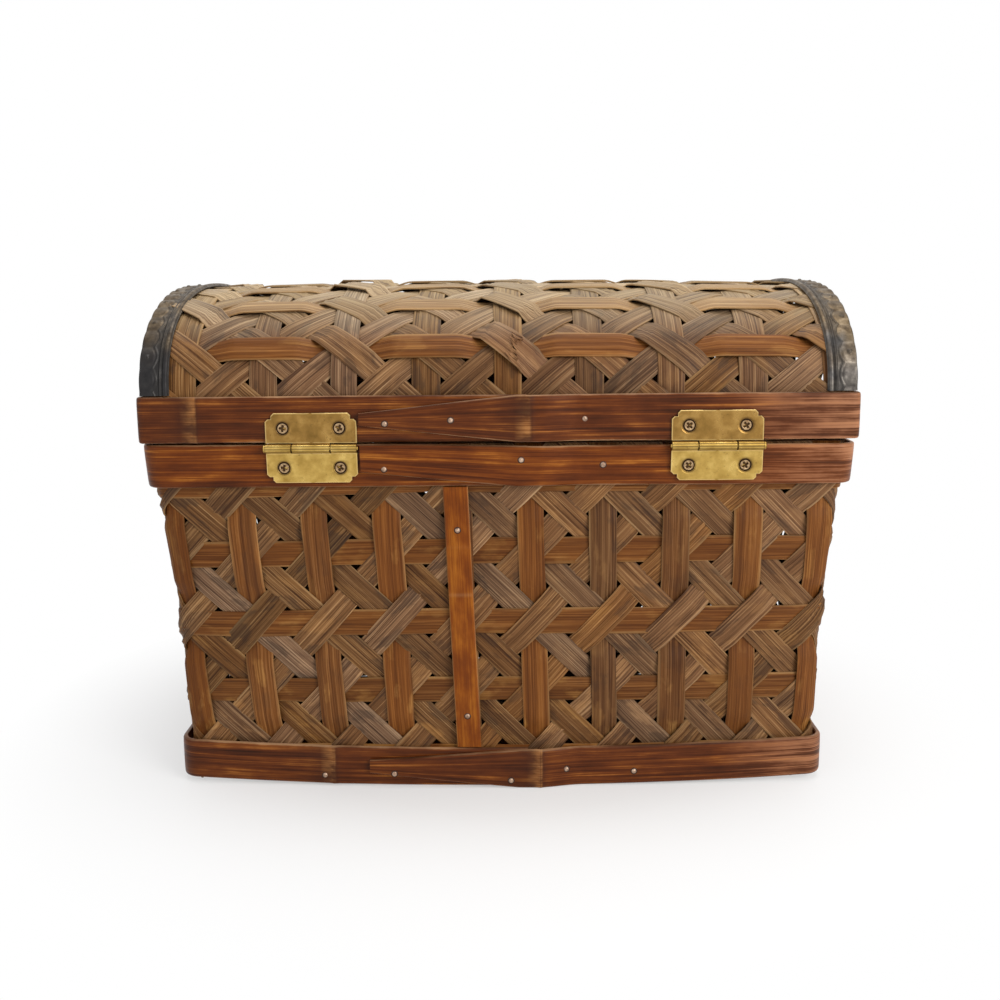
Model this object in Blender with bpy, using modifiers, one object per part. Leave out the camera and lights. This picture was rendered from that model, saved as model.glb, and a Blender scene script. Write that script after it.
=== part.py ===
"""A small domed trunk woven from flat bamboo splints.

The tapered basket stands on a bamboo hoop. Its rim is gripped between an outer and an inner hoop,
and so is the rim of the lid, whose barrel mat is nailed to two bent ribs and edged with pressed tin.
Two brass butt hinges join the hoops at the back, and a brass swing hook holds the lid in front.
The origin is on the ground under the middle, +Z is up, and the hinges are on the +Y side.
"""

import math

import bmesh
import bpy
import numpy as np
from mathutils import Matrix, Vector

MM = 0.001

# Fits
CLEARANCE = 0.3 * MM  # between pieces that rest on each other
MOVING_CLEARANCE = 0.4 * MM  # between pieces that slide past each other
OVERRUN = 1.0 * MM  # how far a cutter passes the faces it cuts
BITE = 0.1 * MM  # how deep joined shapes overlap

# The trunk over its hoops
SEAM_HEIGHT = 152.0 * MM
SEAM_GAP = 0.8 * MM
LENGTH = 299.0 * MM  # over the lid's hoop
DEPTH = 199.0 * MM
BODY_INSET = 0.4 * MM  # how far the body's hoop stands behind the lid's on each side
TAPER = 8.3 * MM  # how far each wall leans in on its way down

# Split bamboo hoops
HOOP_THICKNESS = 2.2 * MM
LID_HOOP_WIDTH = 19.5 * MM
BODY_HOOP_WIDTH = 18.0 * MM
BASE_HOOP_WIDTH = 17.5 * MM
LID_HOOP_RADIUS = 3.0 * MM
BASE_HOOP_RADIUS = 9.0 * MM
BASE_HOOP_PROUD = 0.5 * MM  # how far it stands off the mat
INNER_HOOP_THICKNESS = 1.8 * MM
INNER_HOOP_WIDTH = 15.0 * MM
INNER_LID_HOOP_RADIUS = 5.0 * MM

# Where a hoop's two ends lap, on the back
LAP_INNER_END = -12.0 * MM
LAP_RAMP_START = -36.0 * MM
LAP_RAMP_END = -16.0 * MM
LAP_TAPER_START = -8.0 * MM
LAP_TIP_GAP = 1.0 * MM  # between the lap's tip and the hinge beside it
LID_LAP_TIP_WIDTH = 5.6 * MM
BODY_LAP_TIP_WIDTH = 11.7 * MM
BASE_LAP_TIP_WIDTH = 6.2 * MM
# How much of each taper is cut from the upper edge
LID_LAP_UPPER_SHARE = 0.5
BODY_LAP_UPPER_SHARE = 0.0
BASE_LAP_UPPER_SHARE = 0.45

# Woven walls
WEAVE_THICKNESS = 3.0 * MM
WALL_RADIUS = 6.0 * MM
WALL_FOOT = 1.0 * MM  # the mat stops this far above the ground
BOTTOM_HEIGHT = 4.0 * MM
WEAVE_RELIEF = 1.2 * MM  # how far the lower splints lie behind the ones on top
WEAVE_BORDER = 2.0 * MM  # of the mat's plain border that shows beside a hoop or the tin

# The mat's lattice. Uprights lie on top at every other row, and slanting splints at the rows between.
COLUMN_COUNT = 31  # all round
COLUMN_SHIFT = 1.15 * MM  # of the whole lattice round the trunk
ROW_PITCH = 30.9 * MM
TOP_ROW_RISE = 2.6 * MM  # the first row lies this far over the foot of the body's hoop
UPRIGHT_WIDTH = 11.6 * MM
SLANT_WIDTH = 10.8 * MM
COLUMN_LEAN_SHARE = 0.026  # how far the columns run aside, as a share of how far they run down
# How far a splint stays on top to each side of its crossing, as a share of the pitch
UPRIGHT_REACH_SHARE = 0.56
SLANT_REACH_SHARE = 0.31
# The barrel's lattice, whose rows run along the trunk
BARREL_ROW_PITCH = 29.2 * MM
BARREL_ROW_SHIFT = 9.2 * MM  # of the row beside the ridge, towards the back
BARREL_COLUMN_PITCH = 33.8 * MM
BARREL_COLUMN_X = -4.4 * MM
BARREL_STRIP_WIDTH = 11.0 * MM
BARREL_SLANT_WIDTH = 11.6 * MM
BARREL_SLANT_STEPS = 2

# Slats that cover the mat's joint, outside and inside the back wall
SLAT_WIDTH = 10.6 * MM
SLAT_THICKNESS = 1.6 * MM
SLAT_TOP_X = 18.0 * MM
SLAT_BOTTOM_X = 13.6 * MM

# Barrel of the lid
DOME_RISE = 46.5 * MM  # over the shoulder, at the ends
DOME_CROWN = 2.5 * MM  # more than that in the middle
SHOULDER_DROP = 2.0 * MM  # the arch springs this far below the hoop's upper edge
ARCH_ROUNDNESS = 2.37  # exponent of the arch: 2 is an ellipse, more is boxier
DOME_STATIONS = 5
ARCH_STEPS = 32
ARCH_SAMPLES = 401  # points used to measure the arch's length

# Bent ribs inside the barrel's ends
RIB_WIDTH = 7.0 * MM
RIB_THICKNESS = 3.0 * MM

# Pressed tin edging
TIN_THICKNESS = 0.7 * MM
TIN_BAND_WIDTH = 12.4 * MM
TIN_FLANGE_WIDTH = 9.0 * MM
TIN_RIB_HEIGHT = 1.0 * MM
TIN_EDGE_ROUND = 0.6 * MM
SCALLOP_PITCH = 10.0 * MM
SCALLOP_DEPTH = 2.4 * MM
SCALLOP_RAISE = 0.5 * MM

# Brass butt hinges
RIGHT_HINGE_INSET = 72.6 * MM  # from the end of the lid's hoop to the middle of the hinge
LEFT_HINGE_INSET = 59.1 * MM
HINGE_WIDTH = 37.8 * MM
LEAF_HEIGHT = 14.6 * MM  # from the pin's axis
LEAF_THICKNESS = 0.9 * MM
LEAF_NOTCH_WIDTH = 2.4 * MM
LEAF_NOTCH_HEIGHT = 2.6 * MM
KNUCKLE_RADIUS = 1.9 * MM
KNUCKLE_PROUD = 0.15 * MM  # the barrel stands this far behind the leaf's back
MIDDLE_KNUCKLE_LENGTH = 16.0 * MM
PIN_RADIUS = 0.8 * MM
PIN_BORE_RADIUS = 0.95 * MM
PIN_PROUD = 0.4 * MM
PIN_DROP = 1.6 * MM  # the pin lies this far below the seam

# Countersunk cross-head screws
SCREW_HEAD_RADIUS = 2.5 * MM
SCREW_SHANK_RADIUS = 1.1 * MM
SCREW_LENGTH = 5.0 * MM
SCREW_SINK = 0.1 * MM  # the head lies this far below the leaf's face
SCREW_SLOT_LENGTH = 3.2 * MM
SCREW_SLOT_WIDTH = 0.7 * MM
SCREW_SLOT_DEPTH = 0.6 * MM
SCREW_INSET = 7.25 * MM  # from the leaf's end
SCREW_HEIGHT = 8.3 * MM  # from the pin's axis
SCREW_SIDES = 10

# Swing hook
LATCH_PLATE_WIDTH = 22.0 * MM
LATCH_PLATE_HEIGHT = 12.0 * MM
LATCH_SCREW_INSET = 3.5 * MM
HOOK_LENGTH = 18.5 * MM  # from the rivet to the stud
HOOK_THICKNESS = 1.0 * MM
HOOK_EYE_RADIUS = 3.6 * MM
HOOK_ARM_WIDTH = 4.4 * MM
HOOK_HEAD_RADIUS = 5.2 * MM
HOOK_TAIL_LENGTH = 9.5 * MM  # from the stud's place to the tip
HOOK_TAIL_WIDTH = 3.0 * MM
HOOK_SLOT_WIDTH = 4.6 * MM
POST_RADIUS = 1.4 * MM
POST_CAP_RADIUS = 3.1 * MM
POST_CAP_THICKNESS = 0.9 * MM
POST_TAIL_RADIUS = 1.0 * MM

# Places that follow from these
BODY_TOP = SEAM_HEIGHT - SEAM_GAP / 2
LID_FOOT = SEAM_HEIGHT + SEAM_GAP / 2
LID_HOOP_TOP = LID_FOOT + LID_HOOP_WIDTH
BODY_HOOP_FOOT = BODY_TOP - BODY_HOOP_WIDTH
WALL_TOP = BODY_TOP - CLEARANCE
SHOULDER = LID_HOOP_TOP - SHOULDER_DROP
WALL_SLOPE = TAPER / (WALL_TOP - WALL_FOOT)
RECESS_FOOT = BASE_HOOP_WIDTH + WEAVE_BORDER
RECESS_TOP = BODY_HOOP_FOOT - WEAVE_BORDER
TOP_ROW = BODY_HOOP_FOOT + TOP_ROW_RISE
LEVEL_HEIGHT = TOP_ROW - ROW_PITCH  # where the columns stand at even places
BARREL_FOOT = LID_FOOT + CLEARANCE
WALL_TOP_LENGTH = LENGTH - 2 * (BODY_INSET + HOOP_THICKNESS + CLEARANCE)
WALL_TOP_DEPTH = DEPTH - 2 * (BODY_INSET + HOOP_THICKNESS + CLEARANCE)
DOME_LENGTH = LENGTH - 2 * (HOOP_THICKNESS + 2 * CLEARANCE)
DOME_DEPTH = DEPTH - 2 * (HOOP_THICKNESS + CLEARANCE)
LID_BACK = DEPTH / 2
RIGHT_HINGE_X = LENGTH / 2 - RIGHT_HINGE_INSET
LEFT_HINGE_X = LEFT_HINGE_INSET - LENGTH / 2
SCREW_SPACING = HINGE_WIDTH - 2 * SCREW_INSET
LATCH_SCREW_SPACING = LATCH_PLATE_WIDTH - 2 * LATCH_SCREW_INSET
LAP_TIP = RIGHT_HINGE_X - HINGE_WIDTH / 2 - LAP_TIP_GAP
PIN_HEIGHT = SEAM_HEIGHT - PIN_DROP
PIN_Y = LID_BACK + CLEARANCE + KNUCKLE_RADIUS - KNUCKLE_PROUD

# Turns a flat outline drawn in local X and Y so that it stands along Y and Z, facing +X
FACING_X = Matrix(((0, 0, 1), (1, 0, 0), (0, 1, 0))).to_4x4()
# Turns it so that it stands along X and Z, facing -Y
FACING_FRONT = Matrix(((1, 0, 0), (0, 0, -1), (0, 1, 0))).to_4x4()
# Turns a piece made facing the front so that it faces the back
TO_BACK = Matrix.Rotation(math.pi, 4, "Z")

COLOURS = {
    "splint": ((0.42, 0.25, 0.11, 1.0), 0.55, 0.0),
    "hoop": ((0.30, 0.11, 0.04, 1.0), 0.35, 0.0),
    "slat": ((0.45, 0.18, 0.05, 1.0), 0.35, 0.0),
    "tin": ((0.20, 0.19, 0.17, 1.0), 0.45, 0.8),
    "brass": ((0.70, 0.50, 0.20, 1.0), 0.30, 1.0),
}


def clear_scene():
    for obj in list(bpy.data.objects):
        bpy.data.objects.remove(obj)


def new_collection(name):
    collection = bpy.data.collections.new(name)
    bpy.context.scene.collection.children.link(collection)
    return collection


def new_material(name):
    colour, roughness, metallic = COLOURS[name]
    material = bpy.data.materials.new(name)
    material.use_nodes = True
    shader = material.node_tree.nodes["Principled BSDF"]
    shader.inputs["Base Color"].default_value = colour
    shader.inputs["Roughness"].default_value = roughness
    shader.inputs["Metallic"].default_value = metallic
    return material


def add_part(name, data, material):
    """A mesh or curve as one named piece of the trunk."""
    obj = bpy.data.objects.new(name, data)
    TRUNK.objects.link(obj)
    data.materials.clear()
    data.materials.append(MATERIALS[material])
    return obj


def add_cutter(name, mesh):
    """A mesh that only cuts or joins, left out of the trunk."""
    obj = bpy.data.objects.new(name, mesh)
    CUTTERS.objects.link(obj)
    obj.hide_render = True
    obj.display_type = "WIRE"
    return obj


def boolean(obj, other, operation):
    modifier = obj.modifiers.new(operation.lower(), "BOOLEAN")
    modifier.operation = operation
    modifier.object = other


def solidify(obj, thickness, offset):
    """Gives an open surface its thickness: offset -1 grows it behind the faces, 1 in front."""
    modifier = obj.modifiers.new("thickness", "SOLIDIFY")
    modifier.thickness = thickness
    modifier.offset = offset
    modifier.use_even_offset = True


def surface(name, rows):
    """A mesh of quads through rows of points, facing the cross product of across-rows and along-row."""
    mesh = bpy.data.meshes.new(name)
    count = len(rows[0])
    faces = [
        (i * count + j, (i + 1) * count + j, (i + 1) * count + j + 1, i * count + j + 1)
        for i in range(len(rows) - 1)
        for j in range(count - 1)
    ]
    mesh.from_pydata([point for row in rows for point in row], [], faces)
    return mesh


def loft(name, *outlines):
    """A closed mesh through outlines that have as many points as each other."""
    mesh = bpy.data.meshes.new(name)
    count = len(outlines[0])
    last = count * (len(outlines) - 1)
    faces = [
        (low + i, low + (i + 1) % count, low + count + (i + 1) % count, low + count + i)
        for low in range(0, last, count)
        for i in range(count)
    ]
    caps = [tuple(reversed(range(count))), tuple(range(last, last + count))]
    mesh.from_pydata([point for outline in outlines for point in outline], [], faces + caps)
    return mesh


def facing_out(mesh):
    bm = bmesh.new()
    bm.from_mesh(mesh)
    bmesh.ops.recalc_face_normals(bm, faces=bm.faces)
    bm.to_mesh(mesh)
    bm.free()
    return mesh


def smooth(mesh, degrees=35):
    mesh.shade_smooth()
    mesh.set_sharp_from_angle(angle=math.radians(degrees))


def weld(mesh):
    """Joins the points that coincide, such as those where a cap meets its side."""
    bm = bmesh.new()
    bm.from_mesh(mesh)
    bmesh.ops.remove_doubles(bm, verts=bm.verts, dist=MM / 1000)
    bm.to_mesh(mesh)
    bm.free()
    return mesh


def applied(obj):
    """The object's evaluated mesh as a new mesh."""
    bpy.context.view_layer.update()
    graph = bpy.context.evaluated_depsgraph_get()
    return bpy.data.meshes.new_from_object(obj.evaluated_get(graph))


def flat_plate(name, outline, thickness):
    """A mesh of a flat outline in local X and Y, from local Z zero to its thickness."""
    bm = bmesh.new()
    face = bm.faces.new([bm.verts.new((x, y, 0)) for x, y in outline])
    made = bmesh.ops.extrude_face_region(bm, geom=[face])["geom"]
    raised = [item for item in made if isinstance(item, bmesh.types.BMVert)]
    bmesh.ops.translate(bm, verts=raised, vec=(0, 0, thickness))
    bmesh.ops.recalc_face_normals(bm, faces=bm.faces)
    mesh = bpy.data.meshes.new(name)
    bm.to_mesh(mesh)
    bm.free()
    return mesh


def rod_mesh(name, radius, low, high, place=(0, 0), sides=16, top_radius=None):
    """A cylinder or cone along local Z between two heights, at a place in X and Y."""
    bm = bmesh.new()
    bmesh.ops.create_cone(
        bm,
        cap_ends=True,
        segments=sides,
        radius1=radius,
        radius2=radius if top_radius is None else top_radius,
        depth=high - low,
        matrix=Matrix.Translation((place[0], place[1], (low + high) / 2)),
    )
    mesh = bpy.data.meshes.new(name)
    bm.to_mesh(mesh)
    bm.free()
    return mesh


def box_mesh(name, low, high):
    bm = bmesh.new()
    size = Vector(high) - Vector(low)
    centre = (Vector(high) + Vector(low)) / 2
    bmesh.ops.create_cube(bm, size=1, matrix=Matrix.Translation(centre) @ Matrix.Diagonal((*size, 1)))
    mesh = bpy.data.meshes.new(name)
    bm.to_mesh(mesh)
    bm.free()
    return mesh


def joined(name, meshes):
    """Several meshes as one, which stay separate bodies."""
    bm = bmesh.new()
    for mesh in meshes:
        bm.from_mesh(mesh)
    mesh = bpy.data.meshes.new(name)
    bm.to_mesh(mesh)
    bm.free()
    return mesh


def turned(name, profile, sides):
    """A solid turned about local Z from a profile of (radius, height) that runs from top to bottom."""
    mesh = bpy.data.meshes.new(name)
    mesh.from_pydata([(r, 0, z) for r, z in profile], [(i, i + 1) for i in range(len(profile) - 1)], [])
    helper = bpy.data.objects.new(name, mesh)
    CUTTERS.objects.link(helper)
    modifier = helper.modifiers.new("turn", "SCREW")
    modifier.steps = sides
    modifier.render_steps = sides
    modifier.use_merge_vertices = True
    modifier.merge_threshold = MM / 1000
    made = weld(applied(helper))
    bpy.data.objects.remove(helper)
    smooth(made)
    return made


# Hoops

CORNER_STEPS = 5
# The directions of a ring's corners in degrees, for a ring that starts on the back and runs towards +X
CORNER_ANGLES = (45, -45, -135, -225)
HALF_CORNER_ANGLE = 45


def arc(half_x, half_y, radius, middle, start, end, steps):
    """Points on a ring's rounded corner that lies towards an angle, as (point, outward normal, widening).
    The widening is the way in which the corner moves when the ring grows."""
    turn = math.radians(middle)
    widening = Vector((math.copysign(1, math.cos(turn)), math.copysign(1, math.sin(turn)), 0))
    centre = widening * Vector((half_x - radius, half_y - radius, 0))
    points = []
    for step in range(steps + 1):
        angle = math.radians(middle + start + (end - start) * step / steps)
        normal = Vector((math.cos(angle), math.sin(angle), 0))
        points.append((centre + normal * radius, normal, widening))
    return points


def ring(half_x, half_y, radius, steps):
    """The four corners of a ring, one after the other."""
    points = []
    for middle in CORNER_ANGLES:
        points += arc(half_x, half_y, radius, middle, HALF_CORNER_ANGLE, -HALF_CORNER_ANGLE, steps)
    return points


def lapped_hoop(name, length, depth, radius, foot, width, tip_width, upper_share, lean=0.0):
    """A split bamboo strip bent round once, its tapered outer end lapped over its inner end on the back.
    With a lean, it narrows by that much for each unit that it goes down."""
    taper = width - tip_width
    half_x, half_y = length / 2, depth / 2
    back = Vector((0, 1, 0))
    lap = HOOP_THICKNESS + CLEARANCE
    # Each station: the point, its outward normal, where it moves as the hoop widens, lap and trim
    stations = [(Vector((LAP_INNER_END, half_y, 0)), back, back, 0.0, 0.0)]
    stations += [(*corner, 0.0, 0.0) for corner in ring(half_x, half_y, radius, CORNER_STEPS)]
    stations.append((Vector((LAP_RAMP_START, half_y, 0)), back, back, 0.0, 0.0))
    stations.append((Vector((LAP_RAMP_END, half_y, 0)), back, back, lap, 0.0))
    stations.append((Vector((LAP_TAPER_START, half_y, 0)), back, back, lap, 0.0))
    stations.append((Vector((LAP_TIP, half_y, 0)), back, back, lap, taper))
    rows = []
    for height, trim_share in ((foot, 1 - upper_share), (foot + width, -upper_share)):
        row = []
        for point, normal, widening, out, trim in stations:
            z = height + trim_share * trim
            inward = lean * (foot + width - z)
            row.append(point + normal * out - widening * inward + Vector((0, 0, z)))
        rows.append(row)
    hoop = add_part(name, surface(name, rows), "hoop")
    solidify(hoop, HOOP_THICKNESS, -1)
    smooth(hoop.data)
    return hoop


def inner_hoop(name, length, depth, radius, foot, width, lean=0.0):
    """A closed strip inside a rim. Its length and depth are over its outer face, at its upper edge."""
    rows = []
    for z in (foot, foot + width):
        inward = lean * (foot + width - z)
        corners = ring(length / 2 - inward, depth / 2 - inward, radius, CORNER_STEPS)
        row = [point + Vector((0, 0, z)) for point, _, _ in corners]
        rows.append([*row, row[0]])
    hoop = add_part(name, weld(surface(name, rows)), "hoop")
    solidify(hoop, INNER_HOOP_THICKNESS, -1)
    smooth(hoop.data)
    return hoop


def wall_half(full_top, z):
    """Half the mat's outer length or depth at a height, from its size at the top."""
    return full_top / 2 - WALL_SLOPE * (WALL_TOP - z)


# Basket

WALL_NAMES = ("right", "back", "left", "front")
WALL_CORNER_STEPS = 3


def wall_outline(middle, z, sunk=0):
    """The section of one side of the mat at a height, from the middle of one rounded corner to the next."""
    outline = []
    for depth, order in ((sunk, 1), (WEAVE_THICKNESS, -1)):
        half_x = wall_half(WALL_TOP_LENGTH, z) - depth
        half_y = wall_half(WALL_TOP_DEPTH, z) - depth
        radius = WALL_RADIUS - depth
        seam = math.degrees(CLEARANCE / 2 / radius)
        first = arc(half_x, half_y, radius, middle, seam, HALF_CORNER_ANGLE, WALL_CORNER_STEPS)
        across = middle + 2 * HALF_CORNER_ANGLE
        second = arc(half_x, half_y, radius, across, -HALF_CORNER_ANGLE, -seam, WALL_CORNER_STEPS)
        face = [point + Vector((0, 0, z)) for point, _, _ in first + second]
        outline += face[::order]
    return outline


def wall_frame(middle, z):
    """One side's outward normal, the way along it, its distance from the middle and half its flat length."""
    turn = math.radians(middle + HALF_CORNER_ANGLE)
    normal = Vector((round(math.cos(turn)), round(math.sin(turn)), 0))
    sideways = Vector((-normal.y, normal.x, 0))
    half = Vector((wall_half(WALL_TOP_LENGTH, z), wall_half(WALL_TOP_DEPTH, z), 0))
    return normal, sideways, abs(normal.dot(half)), abs(sideways.dot(half)) - WALL_RADIUS


def on_wall(middle, along, z, out):
    """A point near one side of the mat. along is the place that it has where the columns stand even."""
    normal, sideways, face, flat = wall_frame(middle, z)
    level_flat = wall_frame(middle, LEVEL_HEIGHT)[3]
    return normal * (face + out) + sideways * (along * flat / level_flat) + Vector((0, 0, z))


def splint(name, place, start, end, width, steps=1):
    """A piece of splint on top of the mat. place turns where it is along and up the mat, and how far out,
    into a point."""
    start, end = Vector(start), Vector(end)
    side = (end - start).orthogonal().normalized() * width / 2
    low, high = -WEAVE_RELIEF - BITE, -BITE
    outlines = []
    for step in range(steps + 1):
        middle = start.lerp(end, step / steps)
        corners = ((-1, low), (1, low), (1, high), (-1, high))
        outlines.append([place(*(middle + side * way), out) for way, out in corners])
    return facing_out(loft(name, *outlines))


def wall_splints(name, middle, has_joint):
    """The splints that lie on top on one side. The joint of the mat is one upright from foot to top."""

    def place(along, z, out):
        return on_wall(middle, along, z, out)

    def lean(z):
        return COLUMN_LEAN_SHARE * (LEVEL_HEIGHT - z)

    flats = [wall_frame(corner, LEVEL_HEIGHT)[3] for corner in (HALF_CORNER_ANGLE, 3 * HALF_CORNER_ANGLE)]
    round_length = 4 * sum(flats) + 2 * math.pi * WALL_RADIUS
    pitch = round_length / COLUMN_COUNT
    # The columns are counted round the trunk from the middle of the back
    quarters = (middle - HALF_CORNER_ANGLE) / (2 * HALF_CORNER_ANGLE)
    first = -COLUMN_SHIFT - quarters * round_length / 4
    limit = wall_frame(middle, LEVEL_HEIGHT)[3] + WALL_RADIUS / 2
    pieces = []
    if has_joint:
        ends = [(first + lean(z) - pitch / 2, z) for z in (RECESS_FOOT - BITE, RECESS_TOP + BITE)]
        pieces.append(splint(name, place, *ends, UPRIGHT_WIDTH))
    for row in range(int((RECESS_TOP - RECESS_FOOT) / ROW_PITCH) + 2):
        height = TOP_ROW - row * ROW_PITCH
        upright = row % 2 == 1
        reach = ROW_PITCH * (UPRIGHT_REACH_SHARE if upright else SLANT_REACH_SHARE)
        low = max(height - reach, RECESS_FOOT - BITE)
        high = min(height + reach, RECESS_TOP + BITE)
        if high - low < reach / 2:
            continue
        width = UPRIGHT_WIDTH if upright else SLANT_WIDTH
        slant = 0 if upright else pitch / ROW_PITCH
        for column in range(-COLUMN_COUNT, COLUMN_COUNT):
            across = first + (column + 0.5) * pitch
            ends = [(across + lean(z) + slant * (z - height), z) for z in (low, high)]
            fits = max(abs(along) for along, _ in ends) + width / 2 < limit
            if fits and not (has_joint and column == -1):
                pieces.append(splint(name, place, *ends, width))
    return pieces


def wall(name, middle, has_joint):
    """One side of the woven mat, between the middles of two rounded corners."""
    levels = (
        (WALL_FOOT, 0),
        (RECESS_FOOT, 0),
        (RECESS_FOOT + WEAVE_RELIEF, WEAVE_RELIEF),
        (RECESS_TOP - WEAVE_RELIEF, WEAVE_RELIEF),
        (RECESS_TOP, 0),
        (WALL_TOP, 0),
    )
    outlines = [wall_outline(middle, z, sunk) for z, sunk in levels]
    panel = add_part(name, loft(name, *outlines), "splint")
    smooth(panel.data)
    splints = joined(f"{name}_splints", wall_splints(name, middle, has_joint))
    boolean(panel, add_cutter(f"{name}_splints", splints), "UNION")
    return panel


def bottom():
    """The woven floor, between the walls and above the ground."""
    half_x = wall_half(WALL_TOP_LENGTH, BOTTOM_HEIGHT) - WEAVE_THICKNESS - CLEARANCE
    half_y = wall_half(WALL_TOP_DEPTH, BOTTOM_HEIGHT) - WEAVE_THICKNESS - CLEARANCE
    corners = ring(half_x, half_y, WALL_RADIUS - WEAVE_THICKNESS, WALL_CORNER_STEPS)
    outline = [point.xy for point, _, _ in corners]
    mesh = flat_plate("bottom_weave", outline, WEAVE_THICKNESS)
    mesh.transform(Matrix.Translation((0, 0, BOTTOM_HEIGHT)))
    return add_part("bottom_weave", mesh, "splint")


def slat(name, outward, foot, top):
    """A strip up the back wall, which leans a little. outward is from the mat's outer face."""
    middle = SLAT_BOTTOM_X + (SLAT_TOP_X - SLAT_BOTTOM_X) / 2
    lean = math.atan2(SLAT_TOP_X - SLAT_BOTTOM_X, top - foot)
    corner = SLAT_WIDTH / 2 * math.sin(lean)
    taper = math.atan(WALL_SLOPE)
    height = (top - foot - 2 * corner) / math.cos(taper)
    mesh = box_mesh(
        name,
        (-SLAT_WIDTH / 2, outward, -height / 2),
        (SLAT_WIDTH / 2, outward + SLAT_THICKNESS, height / 2),
    )
    strip = add_part(name, mesh, "slat")
    centre = (foot + top) / 2
    strip.location = (middle, wall_half(WALL_TOP_DEPTH, centre), centre)
    strip.rotation_euler = (-taper, lean, 0)
    return strip


# Lid

def arch(half_depth, rise, foot, steps=ARCH_STEPS):
    """Points on the arch from its front foot over the top to its back foot, as (point, outward normal).
    The arch is straight up to the shoulder and a superellipse above it, with even steps."""
    power = 2 / ARCH_ROUNDNESS
    start = math.asin((max(0, foot - SHOULDER) / rise) ** (1 / power))
    angles = np.linspace(start, math.pi - start, ARCH_SAMPLES)
    across = -np.sign(np.cos(angles)) * np.abs(np.cos(angles)) ** power
    up = np.abs(np.sin(angles)) ** power
    lengths = np.cumsum(np.hypot(np.diff(across) * half_depth, np.diff(up) * rise))
    lengths = np.concatenate(((0,), lengths))
    even = np.linspace(0, lengths[-1], steps + 1)
    points = []
    for y, z in zip(np.interp(even, lengths, across), np.interp(even, lengths, up)):
        slope_y = math.copysign(abs(y) ** (ARCH_ROUNDNESS - 1), y) / half_depth
        slope_z = z ** (ARCH_ROUNDNESS - 1) / rise
        normal = Vector((0, slope_y, slope_z)).normalized()
        points.append((Vector((0, y * half_depth, SHOULDER + z * rise)), normal))
    if foot < SHOULDER:
        points.insert(0, (Vector((0, -half_depth, foot)), Vector((0, -1, 0))))
        points.append((Vector((0, half_depth, foot)), Vector((0, 1, 0))))
    return points


def dome_rise(x):
    """How high the barrel stands over the shoulder at a place along the trunk: it swells in the middle."""
    share = min(1, abs(x) / (DOME_LENGTH / 2))
    return DOME_RISE + DOME_CROWN * (1 - share * share)


def arch_row(x, out, foot, steps=ARCH_STEPS):
    """The arch of the mat's outer face at a place along the trunk, moved outwards by some amount."""
    points = arch(DOME_DEPTH / 2, dome_rise(x), foot, steps)
    return [point + normal * out + Vector((x, 0, 0)) for point, normal in points]


def on_barrel(along, x, out):
    """A point near the barrel mat, at a distance along its arch from the ridge, counted towards the back.
    Below the shoulder it runs straight down."""
    points = arch(DOME_DEPTH / 2, dome_rise(x), SHOULDER)
    share = along / BARREL_HALF
    drop = max(0, abs(share) - 1) * BARREL_HALF
    place = (max(-1, min(1, share)) + 1) / 2 * ARCH_STEPS
    index = min(int(place), ARCH_STEPS - 1)
    (low, low_normal), (high, high_normal) = points[index : index + 2]
    normal = low_normal.lerp(high_normal, place - index).normalized()
    return low.lerp(high, place - index) + normal * out + Vector((x, 0, -drop))


def barrel_splints(reach_along, reach_x):
    """The pieces of splint that lie on top of the barrel: strips along the trunk and slanting ones."""
    pieces = []
    rows = int(reach_along / BARREL_ROW_PITCH) + 1
    columns = int(reach_x / BARREL_COLUMN_PITCH) + 1
    for row in range(-rows, rows + 1):
        for column in range(-columns, columns + 1):
            straight = column % 2 == 1
            share = UPRIGHT_REACH_SHARE if straight else SLANT_REACH_SHARE
            width = BARREL_STRIP_WIDTH if straight else BARREL_SLANT_WIDTH
            steps = 1 if straight else BARREL_SLANT_STEPS
            along = BARREL_ROW_SHIFT + row * BARREL_ROW_PITCH
            x = BARREL_COLUMN_X + column * BARREL_COLUMN_PITCH
            rise = 0 if straight else share * BARREL_ROW_PITCH
            reach = share * BARREL_COLUMN_PITCH
            inside = abs(x) + reach < reach_x and abs(along) + rise + width / 2 < reach_along
            if inside:
                ends = (along + rise, x - reach), (along - rise, x + reach)
                pieces.append(splint("barrel_splint", on_barrel, *ends, width, steps))
    return pieces


def dome():
    """The barrel mat, which swells a little between its ends. It is sunk inside a plain border, and the
    splints that lie on top stand up from there."""
    end = DOME_LENGTH / 2
    border_x = end - TIN_BAND_WIDTH - WEAVE_BORDER
    border_along = BARREL_HALF - SHOULDER_DROP - WEAVE_BORDER
    sunk_x, sunk_along = border_x - WEAVE_RELIEF, border_along - WEAVE_RELIEF
    steps = [BARREL_HALF * (2 * step / ARCH_STEPS - 1) for step in range(ARCH_STEPS + 1)]
    sunk_steps = [along for along in steps if abs(along) < sunk_along]
    up = [BARREL_HALF + SHOULDER - BARREL_FOOT, BARREL_HALF, border_along, sunk_along]
    alongs = [-along for along in up] + sunk_steps + up[::-1]
    stations = [(-end, 0), (-border_x, 0)]
    for station in range(DOME_STATIONS):
        stations.append((sunk_x * (2 * station / (DOME_STATIONS - 1) - 1), WEAVE_RELIEF))
    stations += [(border_x, 0), (end, 0)]
    outlines = []
    for x, sunk in stations:
        outer = [on_barrel(along, x, -sunk if abs(along) <= sunk_along else 0) for along in alongs]
        inner = [on_barrel(along, x, -WEAVE_THICKNESS) for along in alongs]
        outlines.append(outer + inner[::-1])
    mat = add_part("dome_weave", facing_out(loft("dome_weave", *outlines)), "splint")
    smooth(mat.data)
    splints = joined("dome_splints", barrel_splints(sunk_along, sunk_x))
    boolean(mat, add_cutter("dome_splints", splints), "UNION")
    return mat


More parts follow.
